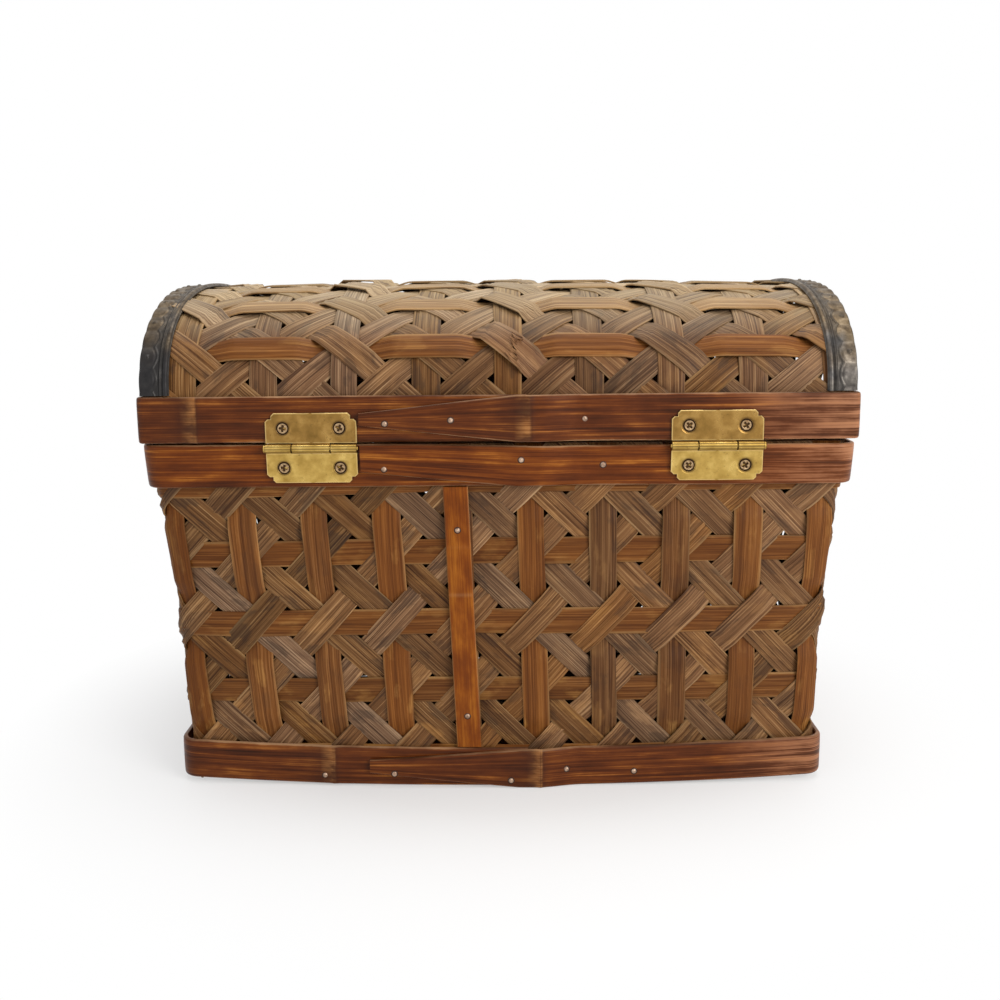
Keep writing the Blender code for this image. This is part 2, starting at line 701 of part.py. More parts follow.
def lid_end(name, side):
    """A woven D-shaped end inside the barrel."""
    inset = -(WEAVE_THICKNESS + CLEARANCE)
    outline = [(point.y, point.z) for point in arch_row(DOME_LENGTH / 2, inset, LID_FOOT + CLEARANCE)]
    mesh = flat_plate(name, outline, WEAVE_THICKNESS)
    mesh.transform(FACING_X)
    panel = add_part(name, mesh, "splint")
    panel.location.x = side * (DOME_LENGTH / 2 - WEAVE_THICKNESS / 2) - WEAVE_THICKNESS / 2
    return panel


def rib(name, side):
    """A bent rib in the corner between the barrel and its end, above the inner hoop."""
    out = -(WEAVE_THICKNESS + CLEARANCE)
    outer = DOME_LENGTH / 2 - WEAVE_THICKNESS - CLEARANCE
    foot = LID_FOOT + INNER_HOOP_WIDTH + 2 * CLEARANCE
    ends = sorted((side * outer, side * (outer - RIB_WIDTH)))
    bow = add_part(name, surface(name, [arch_row(x, out, foot) for x in ends]), "slat")
    solidify(bow, RIB_THICKNESS, -1)
    smooth(bow.data)
    return bow


def tin_edging(name, side):
    """Pressed tin over the edge of the barrel: a rolled rib, a scalloped border and a flange down the end."""
    foot = LID_HOOP_TOP + CLEARANCE
    length = sum((b[0] - a[0]).length for a, b in zip(ARCH_POINTS, ARCH_POINTS[1:]))
    lobes = round(length / SCALLOP_PITCH)
    steps = 2 * lobes
    edge = DOME_LENGTH / 2 + CLEARANCE
    inner = edge - TIN_BAND_WIDTH
    flat = CLEARANCE + BITE
    raised = flat + SCALLOP_RAISE
    scallop = inner + TIN_BAND_WIDTH / 2
    # Across the band: place along the trunk, height over the mat, and share of the scallop's wave
    section = (
        (inner, flat, 0),
        (inner + TIN_RIB_HEIGHT, flat + TIN_RIB_HEIGHT, 0),
        (inner + 2 * TIN_RIB_HEIGHT, flat, 0),
        (scallop - TIN_THICKNESS, flat, 1),
        (scallop, raised, 1),
        (edge - TIN_EDGE_ROUND, raised, 0),
        (edge + BITE, raised - TIN_EDGE_ROUND - BITE, 0),
        (edge + BITE, -TIN_FLANGE_WIDTH, 0),
    )
    rows = []
    for x, out, wave in section:
        row = []
        for index, point in enumerate(arch_row(x, out, foot, steps)):
            swing = wave * SCALLOP_DEPTH / 2 * (1 if index % 2 else -1)
            row.append(Vector((side * (point.x + swing), point.y, point.z)))
        rows.append(row)
    if side < 0:
        rows.reverse()
    strip = add_part(name, surface(name, rows), "tin")
    solidify(strip, TIN_THICKNESS, 1)
    smooth(strip.data)
    return strip


# Fasteners and brass


def screw_mesh():
    """A countersunk screw facing local +Z, its head's face at zero, with a cross recess."""
    neck = -(SCREW_HEAD_RADIUS - SCREW_SHANK_RADIUS)
    profile = (
        (0, 0),
        (SCREW_HEAD_RADIUS, 0),
        (SCREW_SHANK_RADIUS, neck),
        (SCREW_SHANK_RADIUS, -SCREW_LENGTH + SCREW_SHANK_RADIUS),
        (0, -SCREW_LENGTH),
    )
    body = bpy.data.objects.new("screw", turned("screw", profile, SCREW_SIDES))
    CUTTERS.objects.link(body)
    body.hide_render = True
    for name, across, along in (
        ("slot_a", SCREW_SLOT_LENGTH, SCREW_SLOT_WIDTH),
        ("slot_b", SCREW_SLOT_WIDTH, SCREW_SLOT_LENGTH),
    ):
        low = (-across / 2, -along / 2, -SCREW_SLOT_DEPTH)
        high = (across / 2, along / 2, OVERRUN)
        boolean(body, add_cutter(name, box_mesh(name, low, high)), "DIFFERENCE")
    return applied(body)


def screw_cutters(name, places, depth):
    """Countersunk holes for screws at places in local X and Y, whose plate's face is at local Z depth."""
    neck = SCREW_HEAD_RADIUS - SCREW_SHANK_RADIUS
    meshes = []
    for place in places:
        shank = SCREW_SHANK_RADIUS + CLEARANCE
        low = depth - SCREW_LENGTH - CLEARANCE
        meshes.append(rod_mesh(name, shank, low, depth + OVERRUN, place, SCREW_SIDES))
        sunk = depth - neck - SCREW_SINK
        head = SCREW_HEAD_RADIUS + CLEARANCE
        cone = rod_mesh(name, shank, sunk, depth + OVERRUN, place, SCREW_SIDES, head + OVERRUN)
        meshes.append(cone)
    return meshes


def cut_each(obj, name, meshes):
    for index, mesh in enumerate(meshes):
        boolean(obj, add_cutter(f"{name}_{index}", mesh), "DIFFERENCE")


def leaf_outline(bottom_edges):
    """A leaf with stepped corners, its pin along local X. bottom_edges are its knuckles' (start, end)."""
    half = HINGE_WIDTH / 2
    low = KNUCKLE_RADIUS + MOVING_CLEARANCE
    edge = [(-half, low)]
    for start, end in bottom_edges:
        edge += [(start + BITE, low), (start + BITE, 0), (end - BITE, 0), (end - BITE, low)]
    edge.append((half, low))
    step_x, step_y = half - LEAF_NOTCH_WIDTH, LEAF_HEIGHT - LEAF_NOTCH_HEIGHT
    top = [(half, step_y), (step_x, step_y), (step_x, LEAF_HEIGHT)]
    return edge + top + [(-x, y) for x, y in reversed(top)]


def hinge_leaf(name, knuckles):
    """A leaf that stands up from its pin, which is local X, with its knuckles and countersunk holes."""
    back = KNUCKLE_RADIUS - KNUCKLE_PROUD
    plate = flat_plate(name, leaf_outline(knuckles), LEAF_THICKNESS)
    plate.transform(Matrix.Translation((0, 0, -back)))
    leaf = add_part(name, plate, "brass")
    turn = Matrix.Rotation(math.pi / 2, 4, "Y")
    for index, (start, end) in enumerate(knuckles):
        barrel = rod_mesh(name, KNUCKLE_RADIUS, start, end)
        barrel.transform(turn)
        boolean(leaf, add_cutter(f"{name}_knuckle_{index}", barrel), "UNION")
    half = HINGE_WIDTH / 2 + OVERRUN
    bore = rod_mesh(name, PIN_BORE_RADIUS, -half, half)
    bore.transform(turn)
    boolean(leaf, add_cutter(f"{name}_bore", bore), "DIFFERENCE")
    holes = screw_cutters(name, HINGE_SCREWS, LEAF_THICKNESS - back)
    cut_each(leaf, f"{name}_hole", holes)
    made = applied(leaf)
    bpy.data.objects.remove(leaf)
    made.transform(FACING_FRONT)
    smooth(made)
    return made


def hinge_pin_mesh():
    half = HINGE_WIDTH / 2 + PIN_PROUD
    pin = rod_mesh("hinge_pin", PIN_RADIUS, -half, half, sides=12)
    pin.transform(Matrix.Rotation(math.pi / 2, 4, "Y"))
    return pin


HALF_MIDDLE = MIDDLE_KNUCKLE_LENGTH / 2
HINGE_SCREWS = [(side * SCREW_SPACING / 2, SCREW_HEIGHT) for side in (-1, 1)]
OUTER_KNUCKLES = [
    (-HINGE_WIDTH / 2, -HALF_MIDDLE - MOVING_CLEARANCE),
    (HALF_MIDDLE + MOVING_CLEARANCE, HINGE_WIDTH / 2),
]
MIDDLE_KNUCKLE = [(-HALF_MIDDLE, HALF_MIDDLE)]


def hinge(side, x, lid_leaf, body_leaf, pin, screw, hoop_cutters):
    """One butt hinge on the back. Its lower leaf leans with the body's hoop."""
    place = Matrix.Translation((x, PIN_Y, PIN_HEIGHT)) @ TO_BACK
    lean = Matrix.Rotation(math.atan(WALL_SLOPE), 4, "X")
    down = place @ lean @ Matrix.Rotation(math.pi, 4, "Y")
    add_part(f"hinge_{side}_pin", pin, "brass").matrix_world = place
    face = KNUCKLE_RADIUS - KNUCKLE_PROUD - LEAF_THICKNESS
    for part, mesh, frame in (("lid", lid_leaf, place), ("body", body_leaf, down)):
        add_part(f"hinge_{side}_{part}_leaf", mesh, "brass").matrix_world = frame
        for index, (across, up) in enumerate(HINGE_SCREWS):
            spot = frame @ Matrix.Translation((across, face + SCREW_SINK, up)) @ FACING_SCREW
            add_part(f"hinge_{side}_{part}_screw_{index + 1}", screw, "brass").matrix_world = spot
            hole = rod_mesh("shank", SCREW_SHANK_RADIUS + CLEARANCE, -SCREW_LENGTH - CLEARANCE, 0, sides=8)
            hole.transform(spot)
            hoop_cutters[part].append(hole)


# Turns a screw made facing +Z so that it faces -Y
FACING_SCREW = Matrix.Rotation(math.pi / 2, 4, "X")


def latch_plate(name, post_hole, face_y, height, screws):
    """A small plate with stepped corners, facing the front, its screws and its hole for a post."""
    half_x, half_y = LATCH_PLATE_WIDTH / 2, LATCH_PLATE_HEIGHT / 2
    step_x, step_y = half_x - LEAF_NOTCH_WIDTH, half_y - LEAF_NOTCH_HEIGHT
    right = [(step_x, -half_y), (step_x, -step_y), (half_x, -step_y)]
    right += [(x, -y) for x, y in reversed(right)]
    outline = right + [(-x, y) for x, y in reversed(right)]
    blank = add_part(name, flat_plate(name, outline, LEAF_THICKNESS), "brass")
    hole = rod_mesh(name, post_hole, -OVERRUN, LEAF_THICKNESS + OVERRUN, sides=12)
    places = [(side * LATCH_SCREW_SPACING / 2, 0) for side in (-1, 1)]
    cut_each(blank, f"{name}_hole", [hole, *screw_cutters(name, places, LEAF_THICKNESS)])
    made = applied(blank)
    bpy.data.objects.remove(blank)
    frame = Matrix.Translation((0, face_y + LEAF_THICKNESS, height)) @ FACING_FRONT
    add_part(name, made, "brass").matrix_world = frame
    shanks = []
    for index, (x, y) in enumerate(places):
        spot = frame @ Matrix.Translation((x, y, LEAF_THICKNESS - SCREW_SINK))
        add_part(f"{name}_screw_{index + 1}", screws, "brass").matrix_world = spot
        shank = rod_mesh("shank", SCREW_SHANK_RADIUS + CLEARANCE, -SCREW_LENGTH - CLEARANCE, 0, sides=8)
        shank.transform(spot)
        shanks.append(shank)
    return shanks


def post(name, face_y, height, neck):
    """A turned post: a tail through its plate, whose face is at face_y, a neck before it and a domed cap."""
    cap = neck + POST_CAP_THICKNESS
    profile = (
        (0, cap),
        (POST_CAP_RADIUS * 0.6, cap - POST_CAP_THICKNESS * 0.2),
        (POST_CAP_RADIUS, neck + POST_CAP_THICKNESS * 0.3),
        (POST_CAP_RADIUS, neck),
        (POST_RADIUS, neck),
        (POST_RADIUS, CLEARANCE),
        (POST_TAIL_RADIUS, CLEARANCE),
        (POST_TAIL_RADIUS, -LEAF_THICKNESS),
        (0, -LEAF_THICKNESS),
    )
    pin = add_part(name, turned(name, profile, 14), "brass")
    pin.matrix_world = Matrix.Translation((0, face_y, height)) @ FACING_SCREW
    return pin


def swing_hook(plane_y, height):
    """The hook hanging from its rivet. Its slot opens towards -X, the side that it swings to."""
    hook = add_part("latch_hook", rod_mesh("latch_hook", HOOK_EYE_RADIUS, 0, HOOK_THICKNESS), "brass")
    half_arm, half_tail = HOOK_ARM_WIDTH / 2, HOOK_TAIL_WIDTH / 2
    arm = box_mesh("arm", (-half_arm, -HOOK_LENGTH, 0), (half_arm, 0, HOOK_THICKNESS))
    head = rod_mesh("head", HOOK_HEAD_RADIUS, 0, HOOK_THICKNESS, (0, -HOOK_LENGTH))
    tip = -HOOK_LENGTH - HOOK_TAIL_LENGTH
    tail = box_mesh("tail", (-half_tail, tip, 0), (half_tail, -HOOK_LENGTH, HOOK_THICKNESS))
    for name, mesh in (("arm", arm), ("head", head), ("tail", tail)):
        boolean(hook, add_cutter(f"hook_{name}", mesh), "UNION")
    eye = rod_mesh("eye", POST_RADIUS + MOVING_CLEARANCE, -OVERRUN, HOOK_THICKNESS + OVERRUN)
    slot_end = POST_RADIUS + MOVING_CLEARANCE
    slot = box_mesh(
        "slot",
        (-HOOK_HEAD_RADIUS - OVERRUN, -HOOK_LENGTH - HOOK_SLOT_WIDTH / 2, -OVERRUN),
        (slot_end, -HOOK_LENGTH + HOOK_SLOT_WIDTH / 2, HOOK_THICKNESS + OVERRUN),
    )
    cut_each(hook, "hook_cut", (eye, slot))
    made = applied(hook)
    bpy.data.objects.remove(hook)
    smooth(made)
    hook = add_part("latch_hook", made, "brass")
    hook.matrix_world = Matrix.Translation((0, plane_y, height)) @ FACING_FRONT
    return hook


# The whole trunk

clear_scene()
TRUNK = new_collection("rattan_trunk")
CUTTERS = new_collection("cutters")
MATERIALS = {name: new_material(name) for name in COLOURS}
ARCH_POINTS = arch(DOME_DEPTH / 2, DOME_RISE, LID_HOOP_TOP)
BARREL_POINTS = arch(DOME_DEPTH / 2, DOME_RISE, SHOULDER)
BARREL_HALF = sum((b[0] - a[0]).length for a, b in zip(BARREL_POINTS, BARREL_POINTS[1:])) / 2

walls = {}
for index, side_name in enumerate(WALL_NAMES):
    corner_angle = (2 * index - 1) * HALF_CORNER_ANGLE
    walls[side_name] = wall(f"{side_name}_weave", corner_angle, side_name == "back")
bottom()
body_hoop_length = 2 * (wall_half(WALL_TOP_LENGTH, BODY_TOP) + CLEARANCE + HOOP_THICKNESS)
body_hoop_depth = 2 * (wall_half(WALL_TOP_DEPTH, BODY_TOP) + CLEARANCE + HOOP_THICKNESS)
body_hoop = lapped_hoop(
    "body_hoop",
    body_hoop_length,
    body_hoop_depth,
    WALL_RADIUS + CLEARANCE + HOOP_THICKNESS,
    BODY_HOOP_FOOT,
    BODY_HOOP_WIDTH,
    BODY_LAP_TIP_WIDTH,
    BODY_LAP_UPPER_SHARE,
    WALL_SLOPE,
)
base_out = BASE_HOOP_PROUD + HOOP_THICKNESS
lapped_hoop(
    "base_hoop",
    2 * (wall_half(WALL_TOP_LENGTH, BASE_HOOP_WIDTH) + base_out),
    2 * (wall_half(WALL_TOP_DEPTH, BASE_HOOP_WIDTH) + base_out),
    BASE_HOOP_RADIUS,
    0,
    BASE_HOOP_WIDTH,
    BASE_LAP_TIP_WIDTH,
    BASE_LAP_UPPER_SHARE,
)
inset = WEAVE_THICKNESS + CLEARANCE
for name, top in (
    ("body_inner_hoop", WALL_TOP),
    ("base_inner_hoop", BOTTOM_HEIGHT + WEAVE_THICKNESS + CLEARANCE + INNER_HOOP_WIDTH),
):
    inner_hoop(
        name,
        2 * (wall_half(WALL_TOP_LENGTH, top) - inset),
        2 * (wall_half(WALL_TOP_DEPTH, top) - inset),
        WALL_RADIUS - inset,
        top - INNER_HOOP_WIDTH,
        INNER_HOOP_WIDTH,
        WALL_SLOPE,
    )
slat("back_slat", CLEARANCE, BASE_HOOP_WIDTH + CLEARANCE, BODY_HOOP_FOOT - CLEARANCE)
inner_foot = BOTTOM_HEIGHT + WEAVE_THICKNESS + INNER_HOOP_WIDTH + 2 * CLEARANCE
inner_top = WALL_TOP - INNER_HOOP_WIDTH - CLEARANCE
slat("back_inner_slat", -inset - SLAT_THICKNESS, inner_foot, inner_top)

lid_hoop = lapped_hoop(
    "lid_hoop",
    LENGTH,
    DEPTH,
    LID_HOOP_RADIUS,
    LID_FOOT,
    LID_HOOP_WIDTH,
    LID_LAP_TIP_WIDTH,
    LID_LAP_UPPER_SHARE,
)
mat = dome()
inner_hoop(
    "lid_inner_hoop",
    DOME_LENGTH - 2 * inset,
    DOME_DEPTH - 2 * inset,
    INNER_LID_HOOP_RADIUS,
    LID_FOOT + CLEARANCE,
    INNER_HOOP_WIDTH,
)
for side_name, side in (("right", 1), ("left", -1)):
    lid_end(f"lid_end_{side_name}", side)
    rib(f"lid_rib_{side_name}", side)
    tin_edging(f"tin_edging_{side_name}", side)

screw = screw_mesh()
shank_cutters = {"lid": [], "body": []}
lid_leaf = hinge_leaf("lid_leaf", OUTER_KNUCKLES)
body_leaf = hinge_leaf("body_leaf", MIDDLE_KNUCKLE)
pin = hinge_pin_mesh()
for side_name, x in (("right", RIGHT_HINGE_X), ("left", LEFT_HINGE_X)):
    hinge(side_name, x, lid_leaf, body_leaf, pin, screw, shank_cutters)

lid_plate_face = -(LID_BACK + CLEARANCE + LEAF_THICKNESS)
body_plate_face = -(body_hoop_depth / 2 + CLEARANCE + LEAF_THICKNESS)
hook_face = lid_plate_face - MOVING_CLEARANCE - HOOK_THICKNESS
rivet_height = BODY_TOP - BODY_HOOP_WIDTH / 2
stud_height = rivet_height + HOOK_LENGTH
tail_hole = POST_TAIL_RADIUS + CLEARANCE
shank_cutters["body"] += latch_plate("latch_body_plate", tail_hole, body_plate_face, rivet_height, screw)
shank_cutters["lid"] += latch_plate("latch_lid_plate", tail_hole, lid_plate_face, stud_height, screw)
post_reach = -hook_face + MOVING_CLEARANCE
post("latch_rivet", body_plate_face, rivet_height, post_reach + body_plate_face)
post("latch_stud", lid_plate_face, stud_height, post_reach + lid_plate_face)
swing_hook(hook_face + HOOK_THICKNESS, rivet_height)

for part, pieces in (("lid", (lid_hoop, mat)), ("body", (body_hoop, walls["back"], walls["front"]))):
    cutter = add_cutter(f"{part}_shank_holes", joined(f"{part}_shank_holes", shank_cutters[part]))
    for piece in pieces:
        boolean(piece, cutter, "DIFFERENCE")
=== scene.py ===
"""The photographed look of a small woven trunk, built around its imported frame.

The trunk's back, with the hinges, looks along +Y, and the photograph was taken from there. The woven
mats, the hoops, the tin edging, the hinges and the screws are made anew, with their laps, joints, nails
and worn edges, and the catch keeps the frame's shapes. Lengths are in metres.
"""

import math

import bpy
import numpy as np
from mathutils import Matrix, Vector


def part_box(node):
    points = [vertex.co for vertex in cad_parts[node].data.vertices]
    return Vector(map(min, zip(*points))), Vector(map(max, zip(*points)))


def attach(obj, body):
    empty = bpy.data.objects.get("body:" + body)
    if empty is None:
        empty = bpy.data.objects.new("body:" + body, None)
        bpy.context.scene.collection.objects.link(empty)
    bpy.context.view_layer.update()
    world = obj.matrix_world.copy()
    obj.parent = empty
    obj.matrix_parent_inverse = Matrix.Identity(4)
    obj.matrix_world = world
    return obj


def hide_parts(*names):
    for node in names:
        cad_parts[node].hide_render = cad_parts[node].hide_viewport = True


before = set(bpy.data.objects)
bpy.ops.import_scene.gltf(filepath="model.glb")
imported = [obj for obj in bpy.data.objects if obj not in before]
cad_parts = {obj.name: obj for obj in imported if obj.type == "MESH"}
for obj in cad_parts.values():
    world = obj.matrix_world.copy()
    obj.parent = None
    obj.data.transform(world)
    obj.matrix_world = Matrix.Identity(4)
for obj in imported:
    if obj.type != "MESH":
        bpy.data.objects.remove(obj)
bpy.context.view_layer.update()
MM = 0.001

# The camera stands behind the trunk, a little above the seam, and looks slightly down.
CAMERA_PLACE = (-6.0 * MM, 577.5 * MM, 214.0 * MM)
CAMERA_PITCH = 0.178
CAMERA_YAW = 0.011
CAMERA_ROLL = -0.009

camera_data = bpy.data.cameras.new("camera")
camera_data.lens = 42.0
camera_data.sensor_width = 36.0
camera_data.clip_start = 10.0 * MM
camera = bpy.data.objects.new("camera", camera_data)
bpy.context.scene.collection.objects.link(camera)
camera.matrix_world = (
    Matrix.Translation(CAMERA_PLACE)
    @ Matrix.Rotation(math.pi + CAMERA_YAW, 4, "Z")
    @ Matrix.Rotation(math.pi / 2 - CAMERA_PITCH, 4, "X")
    @ Matrix.Rotation(CAMERA_ROLL, 4, "Z")
)
bpy.context.scene.camera = camera
bpy.context.scene.view_settings.view_transform = "Standard"

# Three softboxes light the trunk: a key from behind at its -X end, a weak fill at the other end, and
# a broad one above.
TRUNK_MIDDLE = (0.0, 0.0, 110.0 * MM)


def add_light(name, place, size, power, colour=(1.0, 1.0, 1.0)):
    """A square softbox that faces the trunk's middle."""
    data = bpy.data.lights.new(name, "AREA")
    data.size = size
    data.energy = power
    data.color = colour
    light = bpy.data.objects.new(name, data)
    bpy.context.scene.collection.objects.link(light)
    turn = (Vector(TRUNK_MIDDLE) - Vector(place)).to_track_quat("-Z", "Y")
    light.matrix_world = Matrix.Translation(place) @ turn.to_matrix().to_4x4()


add_light("key", (-0.6, 0.72, 0.52), size=0.5, power=6.1, colour=(1.0, 0.98, 0.95))
add_light("fill", (0.95, 0.85, 0.45), size=0.8, power=1.3, colour=(0.97, 0.98, 1.0))
add_light("top", (-0.1, -0.1, 1.2), size=0.9, power=8.0)

# The backdrop is white where it is seen or mirrored, and lights the trunk less than that. The floor
# keeps the trunk's shadow and fades into the backdrop around it.
WORLD_LIGHT = 0.35
FLOOR_HALF = 6.0
FLOOR_GREY = 0.93
FADE_DISTANCES = (0.12, 0.25)
FADE_SHARES = (0.38, 1.0)
WHITE = (1.0, 1.0, 1.0, 1.0)


def add_node(tree, kind, inputs=None, **settings):
    """A shader node with its settings. Each input is given by its place or name, as a value or a socket."""
    node = tree.nodes.new("ShaderNode" + kind)
    for key, value in settings.items():
        setattr(node, key, value)
    for key, value in (inputs or {}).items():
        if isinstance(value, bpy.types.NodeSocket):
            tree.links.new(value, node.inputs[key])
        else:
            node.inputs[key].default_value = value
    return node


def sums(tree, operation, *values):
    """One sum on numbers or sockets."""
    return add_node(tree, "Math", dict(enumerate(values)), operation=operation).outputs[0]


def times(tree, first, second):
    """The product of two numbers or sockets."""
    return sums(tree, "MULTIPLY", first, second)


def ease(tree, value, low, high, to_low=0.0, to_high=1.0):
    """The value moved from one range to another, held at its ends."""
    places = {0: value, 1: low, 2: high, 3: to_low, 4: to_high}
    return add_node(tree, "MapRange", places).outputs[0]


def object_place(tree):
    """The place on the object, in metres."""
    return add_node(tree, "TexCoord").outputs["Object"]


def new_material(name, roughness, **inputs):
    """A material, its tree and its shader."""
    material = bpy.data.materials.new(name)
    material.use_nodes = True
    tree = material.node_tree
    shader = tree.nodes["Principled BSDF"]
    shader.inputs["Roughness"].default_value = roughness
    for key, value in inputs.items():
        shader.inputs[key.replace("_", " ")].default_value = value
    return material, tree, shader


def shown_white(tree):
    """1 for a ray from the camera, a mirror or glass, and 0 for light that falls on the trunk."""
    rays = add_node(tree, "LightPath").outputs
    either = sums(tree, "MAXIMUM", rays["Is Camera Ray"], rays["Is Glossy Ray"])
    return sums(tree, "MAXIMUM", either, rays["Is Transmission Ray"])


world = bpy.data.worlds.new("studio")
bpy.context.scene.world = world
world.use_nodes = True
tree = world.node_tree
dim = tree.nodes["Background"]
dim.inputs["Color"].default_value = WHITE
dim.inputs["Strength"].default_value = WORLD_LIGHT
bright = add_node(tree, "Background", {"Color": WHITE, "Strength": 1.0})
shown = add_node(tree, "MixShader", {0: shown_white(tree), 1: dim.outputs[0], 2: bright.outputs[0]})
tree.links.new(shown.outputs[0], tree.nodes["World Output"].inputs["Surface"])

floor_material, tree, shader = new_material("floor", 0.6, Base_Color=(*(FLOOR_GREY,) * 3, 1.0))
away = add_node(tree, "VectorMath", {0: object_place(tree)}, operation="LENGTH").outputs["Value"]
fade = ease(tree, away, *FADE_DISTANCES, *FADE_SHARES)
fade = times(tree, fade, shown_white(tree))
bright = add_node(tree, "Emission", {"Color": WHITE})
shown = add_node(tree, "MixShader", {0: fade, 1: shader.outputs[0], 2: bright.outputs[0]})
tree.links.new(shown.outputs[0], tree.nodes["Material Output"].inputs["Surface"])

floor_mesh = bpy.data.meshes.new("floor")
corners = [(x * FLOOR_HALF, y * FLOOR_HALF, 0.0) for x, y in ((-1, -1), (1, -1), (1, 1), (-1, 1))]
floor_mesh.from_pydata(corners, [], [(0, 1, 2, 3)])
floor_mesh.materials.append(floor_material)
floor = bpy.data.objects.new("floor", floor_mesh)
bpy.context.scene.collection.objects.link(floor)

# The basket's mat: splints that run four ways through one square lattice, up, round and along both
# diagonals. Each crosses the others over or under by its place in the lattice, and bends between.
# A strip is a closed tube of eight points round, whose upper edges are slightly rounded.
SPLINT = 0.75 * MM
MAT_LAYERS = 3  # the highest of the four levels, counted from 0
# The points of a strip's section, in half widths across and thicknesses down
SECTION_ACROSS = np.array((-1.0, -0.92, -0.45, 0.45, 0.92, 1.0, 1.0, -1.0))
SECTION_DOWN = np.array((0.30, 0.05, 0.0, 0.0, 0.05, 0.30, 1.0, 1.0))
STRIP_STEP = 2.0 * MM
LATTICE_STEP = 31.0 * MM  # one step of the lattice, near enough for the waves of a strip
# From smooth at 0 to rough at 1, of uprights, rounds and slants
SKINS = ((0.0, 0.8), (0.1, 0.5), (0.75, 1.0))
# Waves of a strip, each a height and a length: sideways and in width as shares of its half width, and
# out of the mat and in tilt in metres
SWAY = ((0.045, 31.0 * MM), (0.03, 9.0 * MM))
WIDEN = (0.05, 43.0 * MM)
LIFT = (0.12 * MM, 14.0 * MM)
TILT = (0.16 * MM, 23.0 * MM)
# A break in a strip: half its gap and the reach of its fibres in rows, and how far they bend out
TEAR_HALF = 0.5
TEAR_ROWS = 2.5
TEAR_CURL = 0.9 * MM
FIBRES = 7
FIBRE_POINTS = 7
FIBRE_ROWS = (0.3, 2.4)
FIBRE_BEND = 0.16
FIBRE_LIFT = 1.6 * MM
FIBRE_WIDTH = 0.92  # the share of its part of the strip that a fibre fills at its root
FIBRE_TAPER = 0.75


def smoothstep(low, high, value):
    """0 below low, 1 above high, and 3x^2 - 2x^3 between."""
    share = np.clip((value - low) / (high - low), 0.0, 1.0)
    return share * share * (3.0 - 2.0 * share)


def run_of(steps):
    """Lengths along a line at each of its points, from its steps."""
    return np.concatenate(((0,), np.cumsum(steps)))


def outward(tube):
    """Whether a tube's faces point outwards, from the sign of the volume under its sides and caps."""
    tube = tube - tube.mean(axis=(0, 1))
    low, high = tube[:-1], tube[1:]
    corners = (low, np.roll(low, -1, axis=1), np.roll(high, -1, axis=1), high)
    volume = np.sum(corners[0] * np.cross(corners[1], corners[2]))
    volume += np.sum(corners[0] * np.cross(corners[2], corners[3]))
    for cap, way in ((tube[0], -1), (tube[-1], 1)):
        fan = np.cross(cap, np.roll(cap, -1, axis=0))
        volume += way * np.sum(cap.mean(axis=0) * fan)
    return volume > 0


def add_tubes(name, tubes, body, nodes, material, sharp=50):
    """One piece from several tubes. Each is (points, coordinates, tint): points is rows x ring x 3, and
    the others spread over rows x ring x 2. Coordinates are metres along the strip and -1 to 1 across
    it, and tint holds two numbers for the material."""
    points, corner_index, corner_place, corner_tint, face_sizes = [], [], [], [], []
    base = 0
    for tube, coordinates, tint in tubes:
        rows, ring = tube.shape[:2]
        way = 1 if outward(tube) else -1
        places = np.broadcast_to(coordinates, (rows, ring, 2))[:, ::way].reshape(-1, 2)
        tints = np.broadcast_to(tint, (rows, ring, 2))[:, ::way].reshape(-1, 2)
        points.append(tube[:, ::way].reshape(-1, 3))
        row = np.arange(rows - 1)[:, None] * ring
        here = np.arange(ring)
        after = (here + 1) % ring
        quads = np.stack((row + here, row + after, row + ring + after, row + ring + here), axis=-1)
        caps = np.concatenate((here[::-1], here + (rows - 1) * ring))
        index = np.concatenate((quads.reshape(-1), caps))
        corner_index.append(index + base)
        corner_place.append(places[index])
        corner_tint.append(tints[index])
        face_sizes += [np.full((rows - 1) * ring, 4), np.full(2, ring)]
        base += rows * ring
    points = np.concatenate(points)
    corner_index = np.concatenate(corner_index).astype(np.int32)
    face_sizes = np.concatenate(face_sizes).astype(np.int32)
    mesh = bpy.data.meshes.new(name)
    mesh.vertices.add(len(points))
    mesh.vertices.foreach_set("co", points.astype(np.float32).ravel())
    mesh.loops.add(len(corner_index))
    mesh.loops.foreach_set("vertex_index", corner_index)
    mesh.polygons.add(len(face_sizes))
    mesh.polygons.foreach_set("loop_start", run_of(face_sizes[:-1]).astype(np.int32))
    mesh.update(calc_edges=True)
    for layer, values in (("strip", corner_place), ("tint", corner_tint)):
        uv = mesh.uv_layers.new(name=layer)
        uv.data.foreach_set("uv", np.concatenate(values).astype(np.float32).ravel())
    mesh.validate()
    mesh.shade_smooth()
    mesh.set_sharp_from_angle(angle=math.radians(sharp))
    mesh.materials.append(material)
    piece = bpy.data.objects.new(name, mesh)
    bpy.context.scene.collection.objects.link(piece)
    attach(piece, body)
    if nodes:
        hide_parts(*nodes)


def mixed(tree, share, first, second):
    """Two colours, as sockets or three numbers, mixed by a share."""
    pair = [(*colour, 1.0) if isinstance(colour, tuple) else colour for colour in (first, second)]
    return add_node(tree, "Mix", {0: share, 6: pair[0], 7: pair[1]}, data_type="RGBA").outputs[2]


def ramp(tree, value, *stops):
    """A colour by a value, from stops of (place, red, green, blue)."""
    node = add_node(tree, "ValToRGB", {0: value})
    elements = node.color_ramp.elements
    while len(elements) < len(stops):
        elements.new(0.5)
    for element, stop in zip(elements, sorted(stops)):
        element.position = stop[0]
        element.color = (*stop[1:], 1.0)
    return node.outputs[0]


